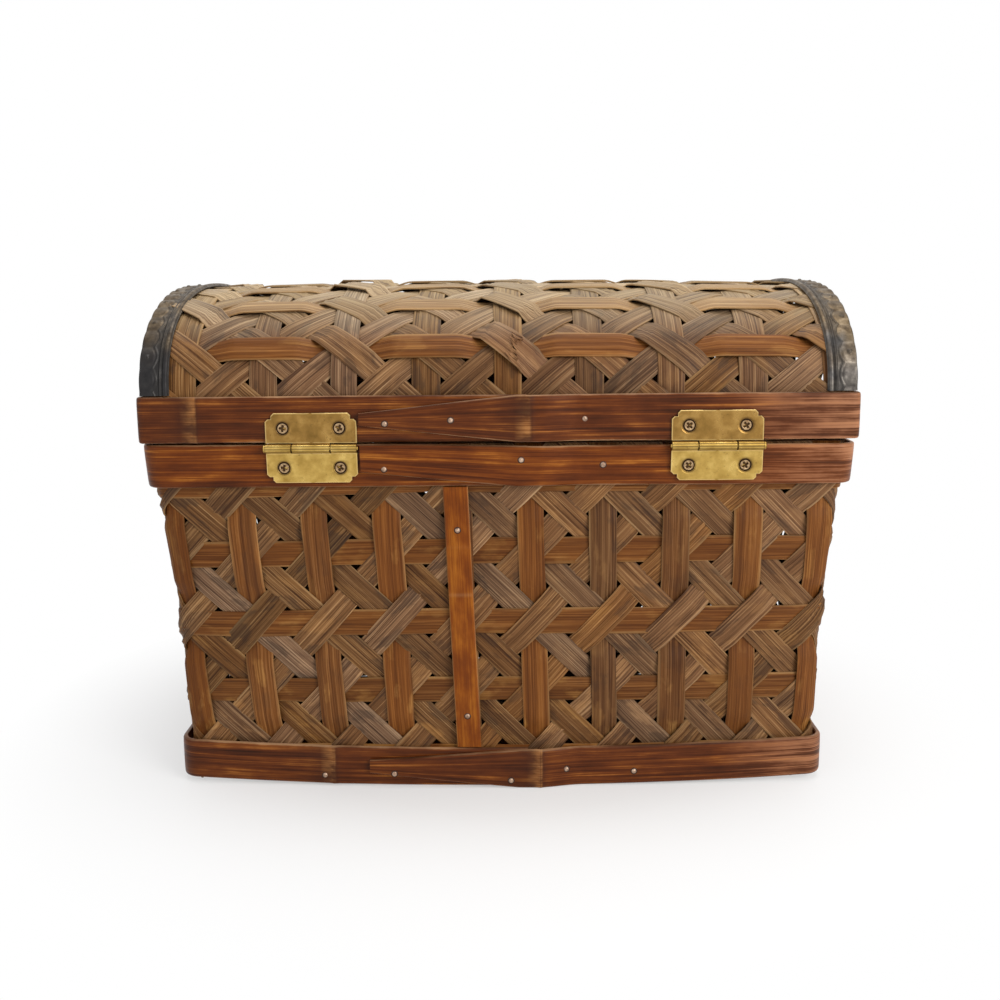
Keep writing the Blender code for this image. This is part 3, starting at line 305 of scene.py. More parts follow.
def noise(tree, place, detail=2.0, roughness=0.55):
    """Smooth noise from about 0.25 to 0.75 at a place whose unit is one grain."""
    inputs = {"Vector": place, "Scale": 1.0, "Detail": detail, "Roughness": roughness}
    return add_node(tree, "TexNoise", inputs, noise_dimensions="3D").outputs[0]


def axes_of(tree, place):
    """The three numbers of a place."""
    return add_node(tree, "SeparateXYZ", {0: place}).outputs


def layer_of(tree, name):
    """The numbers that a UV layer holds: a place on a strip, or the tint of a piece's material."""
    return axes_of(tree, add_node(tree, "UVMap", uv_map=name).outputs[0])


def weighed(tree, first, share, second):
    """Two numbers mixed, with a share of the first."""
    return sums(tree, "MULTIPLY_ADD", first, share, times(tree, second, 1.0 - share))


# Grain along a split strip: fine fibre lines, broader streaks and blotches. Each is stretched noise,
# given by its grains a metre along and across, its detail and the values that become 0 and 1.
GRAINS = {
    "Lines": (22.0, 2300.0, 3.0, 0.36, 0.64),
    "Streaks": (14.0, 520.0, 3.0, 0.33, 0.67),
    "Patches": (55.0, 130.0, 4.0, 0.32, 0.68),
}
SEED_STEP = 61.0

grain = bpy.data.node_groups.new("grain", "ShaderNodeTree")
for way, labels in (("INPUT", ("Along", "Across", "Seed")), ("OUTPUT", GRAINS)):
    for label in labels:
        grain.interface.new_socket(name=label, in_out=way, socket_type="NodeSocketFloat")
grain_in = grain.nodes.new("NodeGroupInput").outputs
grain_out = grain.nodes.new("NodeGroupOutput").inputs
for label, (lengthwise, sideways, detail, low, high) in GRAINS.items():
    scales = (("Along", lengthwise), ("Across", sideways), ("Seed", SEED_STEP))
    place = dict(enumerate(times(grain, grain_in[name], scale) for name, scale in scales))
    place = add_node(grain, "CombineXYZ", place).outputs[0]
    grain.links.new(ease(grain, noise(grain, place, detail), low, high), grain_out[label])


def strip_inputs(tree, half_width, seed):
    """The share of a strip's half width, its three grains and its tint, of which one number is the
    grain's seed."""
    place, tint = layer_of(tree, "strip"), layer_of(tree, "tint")
    across = times(tree, place[1], half_width)
    fibre = add_node(tree, "Group", node_tree=grain)
    for label, value in (("Along", place[0]), ("Across", across), ("Seed", tint[seed])):
        tree.links.new(value, fibre.inputs[label])
    return sums(tree, "ABSOLUTE", place[1]), *fibre.outputs, tint


def dress(tree, shader, colour, height, depth, strength, roughness=None):
    """Gives a shader its colour, relief from a height of 0 to 1 over a depth, and a roughness that
    varies, where there is one."""
    bump = add_node(tree, "Bump", {"Height": height, "Distance": depth, "Strength": strength})
    tree.links.new(colour, shader.inputs["Base Color"])
    tree.links.new(bump.outputs[0], shader.inputs["Normal"])
    if roughness is not None:
        tree.links.new(roughness, shader.inputs["Roughness"])


# Splints have a smooth, red-brown skin side or a rough, olive-brown inner side with open fibres.
# The top of the lid is painted paler, as painted light from above, and some rough splints are
# weathered grey. Rubbed patches, mostly near the foot, are golden, edges are paler, and the rough ones
# carry dark scuffs.
SPLINT_HALF = 5.0 * MM  # half a splint's width, for its grain
# Between these heights the top of the lid is painted paler, as painted light from above
TOP_LIGHT_HEIGHTS = (194.0 * MM, 215.0 * MM)
RUB_HEIGHTS = (60.0 * MM, 25.0 * MM)

splint_material, tree, shader = new_material("splint", 0.5, Specular_IOR_Level=0.12)
share, lines, streaks, patches, tint = strip_inputs(tree, SPLINT_HALF, 0)
height = axes_of(tree, object_place(tree))[2]
smooth_tone = weighed(tree, lines, 0.45, streaks)
smooth_stops = (0.0, 0.080, 0.023, 0.004), (0.5, 0.154, 0.047, 0.008), (1.0, 0.275, 0.098, 0.019)
smooth_skin = ramp(tree, smooth_tone, *smooth_stops)
rough_tone = weighed(tree, lines, 0.75, streaks)
rough_stops = (0.0, 0.035, 0.012, 0.003), (0.35, 0.124, 0.052, 0.014), (0.7, 0.198, 0.092, 0.029)
rough_skin = ramp(tree, rough_tone, *rough_stops, (1.0, 0.36, 0.205, 0.082))
colour = mixed(tree, tint[1], smooth_skin, rough_skin)
rubbed = ease(tree, patches, 0.34, 0.1, 0.0, 0.7)
rubbed = times(tree, rubbed, ease(tree, height, *RUB_HEIGHTS, 0.45, 1.0))
golden = mixed(tree, lines, (0.20, 0.075, 0.014), (0.44, 0.22, 0.06))
colour = mixed(tree, rubbed, colour, golden)
scuffed = times(tree, ease(tree, patches, 0.66, 0.82, 0.0, 0.5), tint[1])
colour = mixed(tree, scuffed, colour, (0.035, 0.02, 0.013))
# Painted light from above: the top of the lid is painted paler, whatever lamp falls on it.
top_light_colour = ramp(tree, rough_tone, (0.0, 0.13, 0.075, 0.032), (0.5, 0.40, 0.27, 0.13), (1.0, 0.62, 0.47, 0.27))
painted_top_light = times(tree, ease(tree, height, *TOP_LIGHT_HEIGHTS), ease(tree, tint[1], 0.0, 1.0, 0.7, 1.0))
colour = mixed(tree, painted_top_light, colour, top_light_colour)
edge = times(tree, ease(tree, share, 0.86, 0.98, 0.0, 0.5), streaks)
colour = mixed(tree, edge, colour, (0.42, 0.25, 0.10))
# Each splint draws two numbers of its own from its tint, one for its value and one for its weathering.
value, weathered = (sums(tree, "FRACT", times(tree, tint[0], rate)) for rate in (7.3, 17.9))
value = ease(tree, value, 0.0, 1.0, 0.75, 1.22)
weathered = times(tree, weathered, ease(tree, tint[1], 0.3, 1.0, 0.0, 0.21))
saturation = sums(tree, "SUBTRACT", 1.0, weathered)
shade = add_node(tree, "HueSaturation", {"Saturation": saturation, "Value": value, "Color": colour})
roughness = ease(tree, lines, 0.0, 1.0, 0.40, 0.58)
dress(tree, shader, shade.outputs[0], rough_tone, 0.12 * MM, 0.7, roughness)


def wave(size, along, phase):
    """A sine of a (height, length) at a place along something."""
    return size[0] * np.sin(along / size[1] + phase)


def stacked(*axes):
    """Points or pairs from arrays that spread over each other."""
    return np.stack(np.broadcast_arrays(*axes), axis=-1)


def lay_strip(centre, across, level_at, slip, map_place, bound, rng, skin, loosen=0.0, torn=None):
    """The tubes of one strip along a centre line in the lattice. centre is rows x 2, across is the
    lattice step of half a width, and level_at gives the layer at a place along the strip, counted in
    rows; slip is how far along a diagonal its edge lies from its centre in the same row. map_place
    turns lattice places and a distance out of the mat into points; bound, where there is one, holds
    places inside an outline. skin is the range of its roughness. A torn strip is broken at a place,
    and frays into fibres that bend away."""
    length = run_of(np.hypot(*np.diff(centre, axis=0).T)) * LATTICE_STEP
    phase = rng.uniform(0.0, 2.0 * math.pi, 5)
    beginning, shade, tint = rng.uniform(0, 9), rng.random(), rng.uniform(*skin)

    def part(row, middle=0.0, half=1.0, lift=0.0):
        """A tube over some rows, about a middle and half a width given as shares of the strip's half."""
        places = np.arange(len(length))
        a, b, along = (np.interp(row, places, values)[:, None] for values in (*centre.T, length))
        sway = wave(SWAY[0], along, phase[0]) + wave(SWAY[1], along, phase[1])
        t = (middle + half * SECTION_ACROSS) * (1.0 + wave(WIDEN, along, phase[2])) + sway
        level = level_at(b + slip * t)
        rise = wave(LIFT, along, phase[3]) + wave(TILT, along, phase[4]) * t + lift
        out = (level - MAT_LAYERS) * SPLINT + rise - SECTION_DOWN * SPLINT
        out = out + loosen * smoothstep(2.0, 3.0, level)
        pa, pb = a + across[0] * t, b + across[1] * t
        coordinates = stacked(along + beginning, t)
        if bound is not None:
            inside, pa, pb = bound(pa, pb)
            rows = np.nonzero(inside.any(axis=1))[0]
            if len(rows) < 3:
                return None
            keep = slice(rows[0], rows[-1] + 1)
            pa, pb, out, coordinates = pa[keep], pb[keep], out[keep], coordinates[keep]
        return map_place(pa, pb, out), coordinates, (shade, tint)

    rows = np.arange(len(length), dtype=float)
    if torn is None:
        tubes = [part(rows)]
    else:
        tear = np.interp(torn, centre[:, 1], rows)
        tubes = []
        for way, end in ((-1, tear - TEAR_HALF), (1, tear + TEAR_HALF)):
            side = np.sort(np.append(rows[(rows - end) * way > 0], end))
            curl = TEAR_CURL * np.exp(-np.abs(side - end) / TEAR_ROWS)[:, None]
            tubes.append(part(side, lift=curl))
            for middle in (np.arange(FIBRES) + 0.5) * 2.0 / FIBRES - 1.0:
                share = np.linspace(0.0, 1.0, FIBRE_POINTS)
                reach = rng.uniform(*FIBRE_ROWS)
                bend = rng.uniform(-FIBRE_BEND, FIBRE_BEND) * share[:, None] ** 2
                lift = TEAR_CURL + rng.uniform(0.0, FIBRE_LIFT) * share[:, None] ** 2
                half = FIBRE_WIDTH / FIBRES * (1.0 - FIBRE_TAPER * share[:, None] ** 2)
                tubes.append(part(end - way * share * reach, middle + bend, half, lift))
    return [tube for tube in tubes if tube is not None]


# How far from a crossing a splint begins and ends its bend to the next level, in rows
UPRIGHT_BEND = (0.36, 0.66)
SLANT_BEND = (0.24, 0.38)
RING_GAP = 0.03  # half the gap between the ends of a round that meets itself, in columns


def upright_level(place):
    """Uprights lie on top at each odd row and at the bottom at each even one."""
    return MAT_LAYERS * (1.0 - smoothstep(*UPRIGHT_BEND, np.abs(place % 2 - 1.0)))


def slant_level(place, levels):
    """The level of a slanting splint, from those midway between nodes, at even nodes and at odd ones."""
    from_node = np.abs(place - np.round(place))
    knot_level = np.where(np.round(place) % 2 == 1, levels[2], levels[1])
    return levels[0] + (1.0 - smoothstep(*SLANT_BEND, from_node)) * (knot_level - levels[0])


def weave(
    prefix, body, nodes, map_place, pitch, span_a, span_b, widths, seed,
    bound=None, closed=0, loosen=0.0, skins=SKINS, torn=(),
):
    """The four families of one mat, each a piece. A place in its lattice is (a, b), counted in columns
    and rows. pitch is the lattice in metres, the spans are its limits, widths are those of uprights,
    rounds and slants, and closed is the number of columns where the mat runs round into itself. loosen
    is how far a slant may stand proud. torn lists (family, number, place) of each broken splint."""
    rng = np.random.default_rng(seed)
    diagonal = math.hypot(*pitch)
    b = np.linspace(*span_b, round((span_b[1] - span_b[0]) * pitch[1] / STRIP_STEP) + 1)
    low_a, high_a = (0, closed - 1) if closed else (math.ceil(span_a[0]), math.floor(span_a[1]))
    reach = 0 if closed else math.ceil(span_b[1] - span_b[0]) + 1 + math.ceil(abs(span_b[0]))
    tears = {(family, number): place for family, number, place in torn}
    families = {"uprights": [], "rounds": [], "falling": [], "rising": []}

    def lay(family, centre, across, level_at, skin, slip=0.0, bow=0.0, torn_at=None):
        """Adds one strip to its family."""
        centre = stacked(*centre)
        strip = lay_strip(centre, across, level_at, slip, map_place, bound, rng, skin, bow, torn_at)
        families[family] += strip

    for column in range(low_a, high_a + 1):
        lay("uprights", (column, b), (-widths[0] / 2 / pitch[0], 0.0), upright_level, skins[0])
    ends = (RING_GAP - 1.0, closed - 1.0 - RING_GAP) if closed else span_a
    a = np.linspace(*ends, round((ends[1] - ends[0]) * pitch[0] / STRIP_STEP) + 1)
    for row in range(math.ceil(span_b[0]), math.floor(span_b[1]) + 1):
        level = 1.0 if row % 2 else 2.0
        across = (0.0, widths[1] / 2 / pitch[1])
        lay("rounds", (a, row), across, lambda place: level + 0 * place, skins[1])
    across = (-widths[2] / 2 * diagonal / pitch[1] / pitch[0], 0.0)
    for family, way, levels in (("falling", 1, (1.0, 1.0, 0.0)), ("rising", -1, (0.0, 3.0, 2.0))):
        slip = way * across[0] * (pitch[0] / diagonal) ** 2
        for start in range(low_a - reach, high_a + reach + 1):
            bow = loosen * rng.random() ** 2
            torn_at = tears.get((family, start))
            slant = start + way * b, b
            lay(family, slant, across, lambda place: slant_level(place, levels), skins[2], slip, bow, torn_at)
    for family, strips in families.items():
        add_tubes(f"{prefix}_{family}", strips, body, nodes, splint_material)


# The basket's walls are one mat that runs round the trunk and in towards its foot.
# The back and front belly out, and the corners are rounded and drawn in halfway down.
wall_low, wall_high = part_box("back_weave")
side_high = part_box("right_weave")[1]
WALL_TOP = wall_high.z
WALL_FOOT = wall_low.z
WALL_HEIGHT = WALL_TOP - WALL_FOOT
TOP_HALF = np.array((side_high.x, wall_high.y))
WALL_TAPER = 8.3 * MM
WALL_SLOPE = WALL_TAPER / WALL_HEIGHT
CORNER_RADIUS = 6.0 * MM
CORNER_CUT = (2.0 * MM, 9.0 * MM)  # how deep and how wide the corners are drawn in halfway down
COLUMNS = 31
ROW_PITCH = 30.9 * MM
TOP_NODE = 136.2 * MM
LATTICE_SHIFT = 1.15 * MM
LATTICE_LEAN = 0.026  # the lattice leans towards -X on the back as it goes down
LEVEL_HEIGHT = TOP_NODE - ROW_PITCH  # where the columns stand at their true places
ROW_SAG = 2.2 * MM  # the upper rows sink by this much towards the +X end
SAG_ENDS = (-0.1, 0.9)  # the shares of the half length between which the sag grows
SAG_DEPTH = 15.0 * MM
BULGE = 4.5 * MM  # the back and front belly out by this much at the foot, in the middle
BULGE_TOP = 140.0 * MM
BULGE_FOOT = 25.0 * MM
WALL_WIDTHS = (11.7 * MM, 11.0 * MM, 11.2 * MM)
# A rounded rectangle at each of its knots: its core's place in shares of the half sizes, and the
# direction that it looks in
RING_CORE_X = (0, -1, -1, -1, -1, 1, 1, 1, 1, 0)
RING_CORE_Y = (1, 1, 1, -1, -1, -1, -1, 1, 1, 1)
RING_TURN = np.array((1, 1, 2, 2, 3, 3, 4, 4, 5, 5)) * math.pi / 2


def bell(size, away):
    """A bell curve of a (height, reach) at a distance from its middle."""
    return size[0] * np.exp(-((away / size[1]) ** 2))


def ring_knots(half_x, half_y, radius):
    """Lengths round a rounded rectangle, from the back's middle towards -X, at each change of shape."""
    turn = radius * math.pi / 2
    x, y = half_x - radius, half_y - radius
    return run_of((x, turn, 2 * y, turn, 2 * x, turn, 2 * y, turn, x))


def go_round(along, knots):
    """The side of the core and the direction of a place along a rounded rectangle."""
    return [np.interp(along % knots[-1], knots, values) for values in (RING_CORE_X, RING_CORE_Y, RING_TURN)]


def belly(side_x, height):
    """How far the back and front stand out at a share of the half length and a height."""
    return BULGE * (1.0 - side_x**2) * smoothstep(0.0, 1.0, (BULGE_TOP - height) / (BULGE_TOP - BULGE_FOOT))


RING_KNOTS = ring_knots(*(TOP_HALF - WALL_SLOPE * (WALL_TOP - LEVEL_HEIGHT)), CORNER_RADIUS)
CORNER_MIDDLES = (RING_KNOTS[1:8:2] + RING_KNOTS[2:9:2]) / 2
COLUMN_PITCH = RING_KNOTS[-1] / COLUMNS


def place_on_walls(a, b, out):
    """A point at a height, part of the way round a rounded rectangle: its inner core and its turn both
    go round in step, and the corner radius and the distance out of the mat are added along the turn.
    Near a corner's middle the mat is drawn in, by a bell curve, more so halfway down."""
    z = TOP_NODE - ROW_PITCH * b
    along = (a + 0.5) * COLUMN_PITCH - LATTICE_SHIFT + LATTICE_LEAN * (LEVEL_HEIGHT - z)
    side_x, side_y, turn = go_round(along, RING_KNOTS)
    below_top = WALL_TOP - z
    sag = ROW_SAG * smoothstep(*SAG_ENDS, side_x) * smoothstep(0.0, SAG_DEPTH, below_top)
    z = np.clip(z - sag * np.clip(1.0 - below_top / WALL_HEIGHT, 0.0, 1.0), WALL_FOOT, WALL_TOP)
    from_corner = np.min([np.abs(along % RING_KNOTS[-1] - middle) for middle in CORNER_MIDDLES], axis=0)
    cut = bell(CORNER_CUT, from_corner) * np.sin(math.pi * (z - WALL_FOOT) / WALL_HEIGHT) ** 2
    inward = WALL_SLOPE * (WALL_TOP - z)
    core_x = side_x * (TOP_HALF[0] - inward - CORNER_RADIUS)
    core_y = side_y * (TOP_HALF[1] - inward - CORNER_RADIUS + belly(side_x, z))
    reach = CORNER_RADIUS - cut + out
    return stacked(core_x + reach * np.cos(turn), core_y + reach * np.sin(turn), z)


WALL_NODES = ("back_weave", "right_weave", "front_weave", "left_weave")
WALL_PITCH = (COLUMN_PITCH, ROW_PITCH)
WALL_SPAN = ((TOP_NODE - WALL_TOP) / ROW_PITCH, (TOP_NODE - WALL_FOOT) / ROW_PITCH)
weave(
    "wall", "body", WALL_NODES, place_on_walls, WALL_PITCH, None, WALL_SPAN, WALL_WIDTHS,
    seed=11, closed=COLUMNS,
)

# The barrel of the lid is the same mat turned a quarter turn, so its smooth splints run along the
# trunk. Some of the rough ones have worked loose and stand proud in long bows, and one is torn.
dome_low, dome_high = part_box("dome_weave")
hoop_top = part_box("lid_hoop")[1].z
DOME_CROWN = 2.5 * MM  # the ridge is this much higher in the middle than at the ends
SHOULDER = hoop_top - 2.0 * MM
DOME_RISE = dome_high.z - DOME_CROWN - SHOULDER
ARCH_ROUNDNESS = 2.37  # 2 for an ellipse, more for squarer shoulders
ARCH_STEPS = 801
DOME_PITCH = (29.2 * MM, 33.8 * MM)
DOME_SHIFT = -4.4 * MM  # the middle column's place along the trunk
DOME_ROW_SHIFT = 9.2 * MM  # the place of the row beside the ridge
DOME_WIDTHS = (11.0 * MM, 11.4 * MM, 11.6 * MM)
DOME_SKINS = ((0.0, 0.35), (0.65, 1.0), (0.65, 1.0))
DOME_TEAR = ("rising", 3, -0.08)  # the family, number and row of the torn splint
LOOSE_BOW = 1.6 * MM  # how far out the loosest splint stands

arch_angle = np.linspace(0.0, math.pi, ARCH_STEPS)
arch_y = -np.sign(np.cos(arch_angle)) * np.abs(np.cos(arch_angle)) ** (2 / ARCH_ROUNDNESS)
arch_z = np.abs(np.sin(arch_angle)) ** (2 / ARCH_ROUNDNESS)
arch_y = np.concatenate(((-1.0,), arch_y, (1.0,))) * dome_high.y
arch_z = np.concatenate(((0.0,), arch_z, (0.0,))) * DOME_RISE + SHOULDER
arch_z[0] = arch_z[-1] = dome_low.z
arch_length = run_of(np.hypot(np.diff(arch_y), np.diff(arch_z)))
arch_length -= arch_length[-1] / 2
arch_slope = np.unwrap(np.arctan2(np.gradient(arch_z, arch_length), np.gradient(arch_y, arch_length)))
ARCH_HALF = arch_length[-1]


def place_on_arch(along, x, out):
    """A point on the barrel at a distance along its arch from the ridge, counted towards the back."""
    along = np.clip(along, -ARCH_HALF, ARCH_HALF)
    swell = DOME_CROWN / DOME_RISE * (1.0 - np.clip(np.abs(x) / dome_high.x, 0, 1) ** 2)
    y, z, slope = (np.interp(along, arch_length, values) for values in (arch_y, arch_z, arch_slope))
    rise = swell * np.clip(z - SHOULDER, 0, None)
    return stacked(x, y - out * np.sin(slope), z + rise + out * np.cos(slope))


def place_on_dome(a, b, out):
    """A point of the barrel's mat, whose columns run round the arch."""
    x = np.clip(DOME_SHIFT + DOME_PITCH[1] * b, dome_low.x, dome_high.x)
    return place_on_arch(DOME_ROW_SHIFT + a * DOME_PITCH[0], x, out)


DOME_SPAN_A = [(way * ARCH_HALF - DOME_ROW_SHIFT) / DOME_PITCH[0] for way in (-1, 1)]
DOME_SPAN_B = [(x - DOME_SHIFT) / DOME_PITCH[1] for x in (dome_low.x, dome_high.x)]


def bound_dome(a, b):
    """Holds places within the arch's two feet."""
    a, b = np.broadcast_arrays(a, b)
    return (a >= DOME_SPAN_A[0]) & (a <= DOME_SPAN_A[1]), np.clip(a, *DOME_SPAN_A), b


weave(
    "dome", "lid", ("dome_weave",), place_on_dome, DOME_PITCH, DOME_SPAN_A, DOME_SPAN_B, DOME_WIDTHS,
    seed=5, bound=bound_dome, loosen=LOOSE_BOW, skins=DOME_SKINS, torn=(DOME_TEAR,),
)

# The ends of the lid and the floor of the basket are flat mats of the same weave. The ends are cut to
# the D under the arch, and the floor to a rectangle.
end_low, end_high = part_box("lid_end_right")
END_PITCH = (30.0 * MM, 31.0 * MM)
END_MIDDLE = 190.0 * MM
FLAT_WIDTHS = (10.7 * MM, 10.7 * MM, 10.2 * MM)


def bound_end(a, b):
    """Holds places inside the D under the arch by drawing them in towards its middle."""
    y, z = a * END_PITCH[0], END_MIDDLE - b * END_PITCH[1]
    up = np.clip(z - SHOULDER, 0, None)
    over = (np.abs(y) / end_high.y) ** ARCH_ROUNDNESS + (up / (end_high.z - SHOULDER)) ** ARCH_ROUNDNESS
    draw = np.where(over > 1.0, over, 1.0) ** (-1.0 / ARCH_ROUNDNESS)
    drawn_z = np.where(z > SHOULDER, SHOULDER + up * draw, np.clip(z, end_low.z, None))
    return (over <= 1.0) & (z >= end_low.z), y * draw / END_PITCH[0], (END_MIDDLE - drawn_z) / END_PITCH[1]


def add_end(node, side, seed):
    """One end of the lid, whose outer face looks along X."""

    def place_on_end(a, b, out):
        """A point of the end's mat."""
        return stacked(side * (end_high.x + out), side * a * END_PITCH[0], END_MIDDLE - b * END_PITCH[1])

    span_a = [way * end_high.y / END_PITCH[0] for way in (-1, 1)]
    span_b = [(END_MIDDLE - z) / END_PITCH[1] for z in (end_high.z, end_low.z)]
    weave(node, "lid", (node,), place_on_end, END_PITCH, span_a, span_b, FLAT_WIDTHS, seed, bound_end)


add_end("lid_end_right", side=1, seed=21)
add_end("lid_end_left", side=-1, seed=22)

floor_low, floor_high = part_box("bottom_weave")
FLOOR_PITCH = (30.0 * MM, 30.0 * MM)
FLOOR_REACH = [high / pitch for high, pitch in zip(floor_high.xy, FLOOR_PITCH)]
FLOOR_SPANS = [(-reach, reach) for reach in FLOOR_REACH]


def bound_floor(a, b):
    """Holds places inside the floor's rectangle."""
    a, b = np.broadcast_arrays(a, b)
    inside = (np.abs(a) <= FLOOR_REACH[0]) & (np.abs(b) <= FLOOR_REACH[1])
    return inside, np.clip(a, *FLOOR_SPANS[0]), np.clip(b, *FLOOR_SPANS[1])


def place_on_floor(a, b, out):
    """A point of the floor's mat, whose outer face looks down."""
    return stacked(a * FLOOR_PITCH[0], b * FLOOR_PITCH[1], floor_low.z - out)


weave(
    "bottom", "body", ("bottom_weave",), place_on_floor, FLOOR_PITCH, *FLOOR_SPANS, FLAT_WIDTHS,
    seed=31, bound=bound_floor,
)

# The hoops are split bamboo, lacquered dark red-brown with orange streaks, their edges rubbed pale.
# Each is bent round once and nailed where its tapered outer end laps over its inner end on the back.
# Bamboo joints stand up as low ridges beside a dark band, and the -X ends, where the key light falls,
# carry a painted sheen.
HOOP_THICKNESS = 2.2 * MM
INNER_THICKNESS = 1.8 * MM
HOOP_STEP = 1.2 * MM
HOOP_HALF = 9.0 * MM  # half a hoop's width, for its grain
# Places of the lap along a hoop: its inner end, the climb over that, the taper's start and the tip
LAP_START = -12.0 * MM
LAP_RAMP = (-36.0 * MM, -16.0 * MM)
LAP_TAPER_START = -8.0 * MM
LAP_TIP = 57.0 * MM
FACE_GAP = 0.3 * MM  # between pieces that lie on each other or meet end to end
LAP_OUT = HOOP_THICKNESS + FACE_GAP
SAG_SPAN = (60.0 * MM, -30.0 * MM)  # where a hoop's sag begins and ends along the trunk
EDGE_WAVES = ((0.12 * MM, 23.0 * MM), (1.0, 61.0 * MM))  # these multiply
FACE_WAVE = (0.1 * MM, 37.0 * MM)
JOINT_RIDGES = ((0.45 * MM, 1.1 * MM), (0.3 * MM, 7.0 * MM))  # a sharp ridge on a broad one
JOINT_FADES = (9.0 * MM, 1.5 * MM)  # how far a joint's band fades ahead of it and behind it
SHEEN_SPAN = (-95.0 * MM, -146.0 * MM)  # where the painted sheen at the -X ends begins and is strongest
# The points of a hoop's section, in half widths across and thicknesses down
HOOP_ACROSS = np.array((-1, -0.97, -0.9, -0.7, -0.35, 0, 0.35, 0.7, 0.9, 0.97, 1, 1, 0.94, 0, -0.94, -1.0))
HOOP_DOWN = np.array((0.4, 0.16, 0.05, 0.01, 0, 0, 0, 0.01, 0.05, 0.16, 0.4, 0.85, 1, 1, 1, 0.85))

hoop_material, tree, shader = new_material("hoop", 0.38, Specular_IOR_Level=0.12, Coat_Weight=0.02)
share, lines, streaks, patches, tint = strip_inputs(tree, HOOP_HALF, 1)
tone = weighed(tree, lines, 0.35, streaks)
tone = sums(tree, "MULTIPLY_ADD", sums(tree, "SUBTRACT", patches, 0.5), 0.35, tone)
dark_stops = (0.0, 0.030, 0.008, 0.002), (0.45, 0.087, 0.021, 0.005), (0.75, 0.152, 0.041, 0.008)
dark_lacquer = ramp(tree, tone, *dark_stops, (1.0, 0.35, 0.125, 0.025))
orange_stops = (0.0, 0.046, 0.009, 0.001), (0.45, 0.136, 0.030, 0.003), (0.75, 0.213, 0.054, 0.005)
orange_lacquer = ramp(tree, tone, *orange_stops, (1.0, 0.41, 0.14, 0.016))
colour = mixed(tree, tint[1], dark_lacquer, orange_lacquer)
colour = mixed(tree, ease(tree, tint[0], 0.05, 0.7, 0.0, 0.65), colour, (0.03, 0.010, 0.006))
joint_line = ease(tree, tint[0], 0.5, 0.85)
joint_line = times(tree, joint_line, ease(tree, patches, 0.35, 0.75, 0.1, 0.75))
joint_colour = mixed(tree, lines, (0.22, 0.07, 0.015), (0.52, 0.24, 0.08))
colour = mixed(tree, joint_line, colour, joint_colour)
colour = mixed(tree, ease(tree, tint[0], 0.95, 1.0, 0.0, 0.8), colour, (0.05, 0.018, 0.010))
worn = ease(tree, sums(tree, "MULTIPLY_ADD", patches, 0.06, share), 0.97, 1.03)
worn = times(tree, worn, ease(tree, streaks, 0.2, 0.7, 0.1, 0.75))
colour = mixed(tree, worn, colour, (0.50, 0.30, 0.16))
# Painted sheen: the -X ends of the hoops, where the key light falls, are painted paler.
painted_sheen = ease(tree, axes_of(tree, object_place(tree))[0], *SHEEN_SPAN, 0.0, 0.8)
painted_sheen = times(tree, painted_sheen, ease(tree, tone, 0.35, 0.7, 0.1, 1.0))
colour = mixed(tree, painted_sheen, colour, (0.40, 0.185, 0.095))
dress(tree, shader, colour, tone, 0.08 * MM, 0.6, ease(tree, patches, 0.0, 1.0, 0.28, 0.5))


def add_hoop(name, body, radius, joints, warmth, seed, lean=0.0, tip=None, bulge=0.0, sag=0.0, rock=0.0):
    """A hoop as a swept strip. The place along it starts on the back and runs towards +X. tip is the
    width of its outer end and the share of the trimming that is at the top; without it the ends meet.
    warmth is the share of orange in its lacquer, sag is how far its upper edge drops towards -X, and
    rock is how far its ends rise over its middle."""
    low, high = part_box(name)
    half_x, half_y, foot, width = high.x, -low.y, low.z, high.z - low.z
    knots = ring_knots(half_x, half_y, radius)
    total = knots[-1]
    start, end = (LAP_START, total + LAP_TIP) if tip else (FACE_GAP / 2, total - FACE_GAP / 2)
    p = np.linspace(start, end, round((end - start) / HOOP_STEP) + 1)[:, None]
    past = p - total
    side_x, side_y, turn = go_round(-p, knots)
    out = -HOOP_DOWN * (HOOP_THICKNESS if tip else INNER_THICKNESS)
    trim, share = 0 * p, 0.5
    if tip:
        share = tip[1]
        out = out + LAP_OUT * smoothstep(*LAP_RAMP, past)
        trim = (width - tip[0]) * np.clip((past - LAP_TAPER_START) / (LAP_TIP - LAP_TAPER_START), 0, 1)
    phase = np.random.default_rng(seed).uniform(0, 2 * math.pi, 3)
    uneven = EDGE_WAVES[0][0] + wave(EDGE_WAVES[0], p, phase[0]) * wave(EDGE_WAVES[1], p, phase[1])
    low = foot + trim * (1 - share) + uneven
    high = foot + width - trim * share - uneven - sag * smoothstep(*SAG_SPAN, side_x * half_x)
    z = low + (high - low) * (HOOP_ACROSS + 1) / 2 + rock * side_x**2
    out = out + wave(FACE_WAVE, p, phase[2])
    band = np.zeros_like(p)
    for joint in joints:
        away = p - (joint if joint > 0 else joint + total)
        out = out + bell(JOINT_RIDGES[0], away) + bell(JOINT_RIDGES[1], away)
        fade = np.where(away > 0, -away / JOINT_FADES[0], away / JOINT_FADES[1])
        band = np.maximum(band, np.exp(fade))
    inward = radius + lean * (foot + width - z)
    bow = bulge * (1 - side_x**2) * np.abs(np.sin(turn))
    x = side_x * (half_x - inward) + (radius + out) * np.cos(turn)
    y = side_y * (half_y - inward + bow) + (radius + out) * np.sin(turn)
    tube = stacked(x, y, z), stacked(p + seed, HOOP_ACROSS), stacked(band, warmth)
    add_tubes(name + "_strip", [tube], body, (name,), hoop_material)


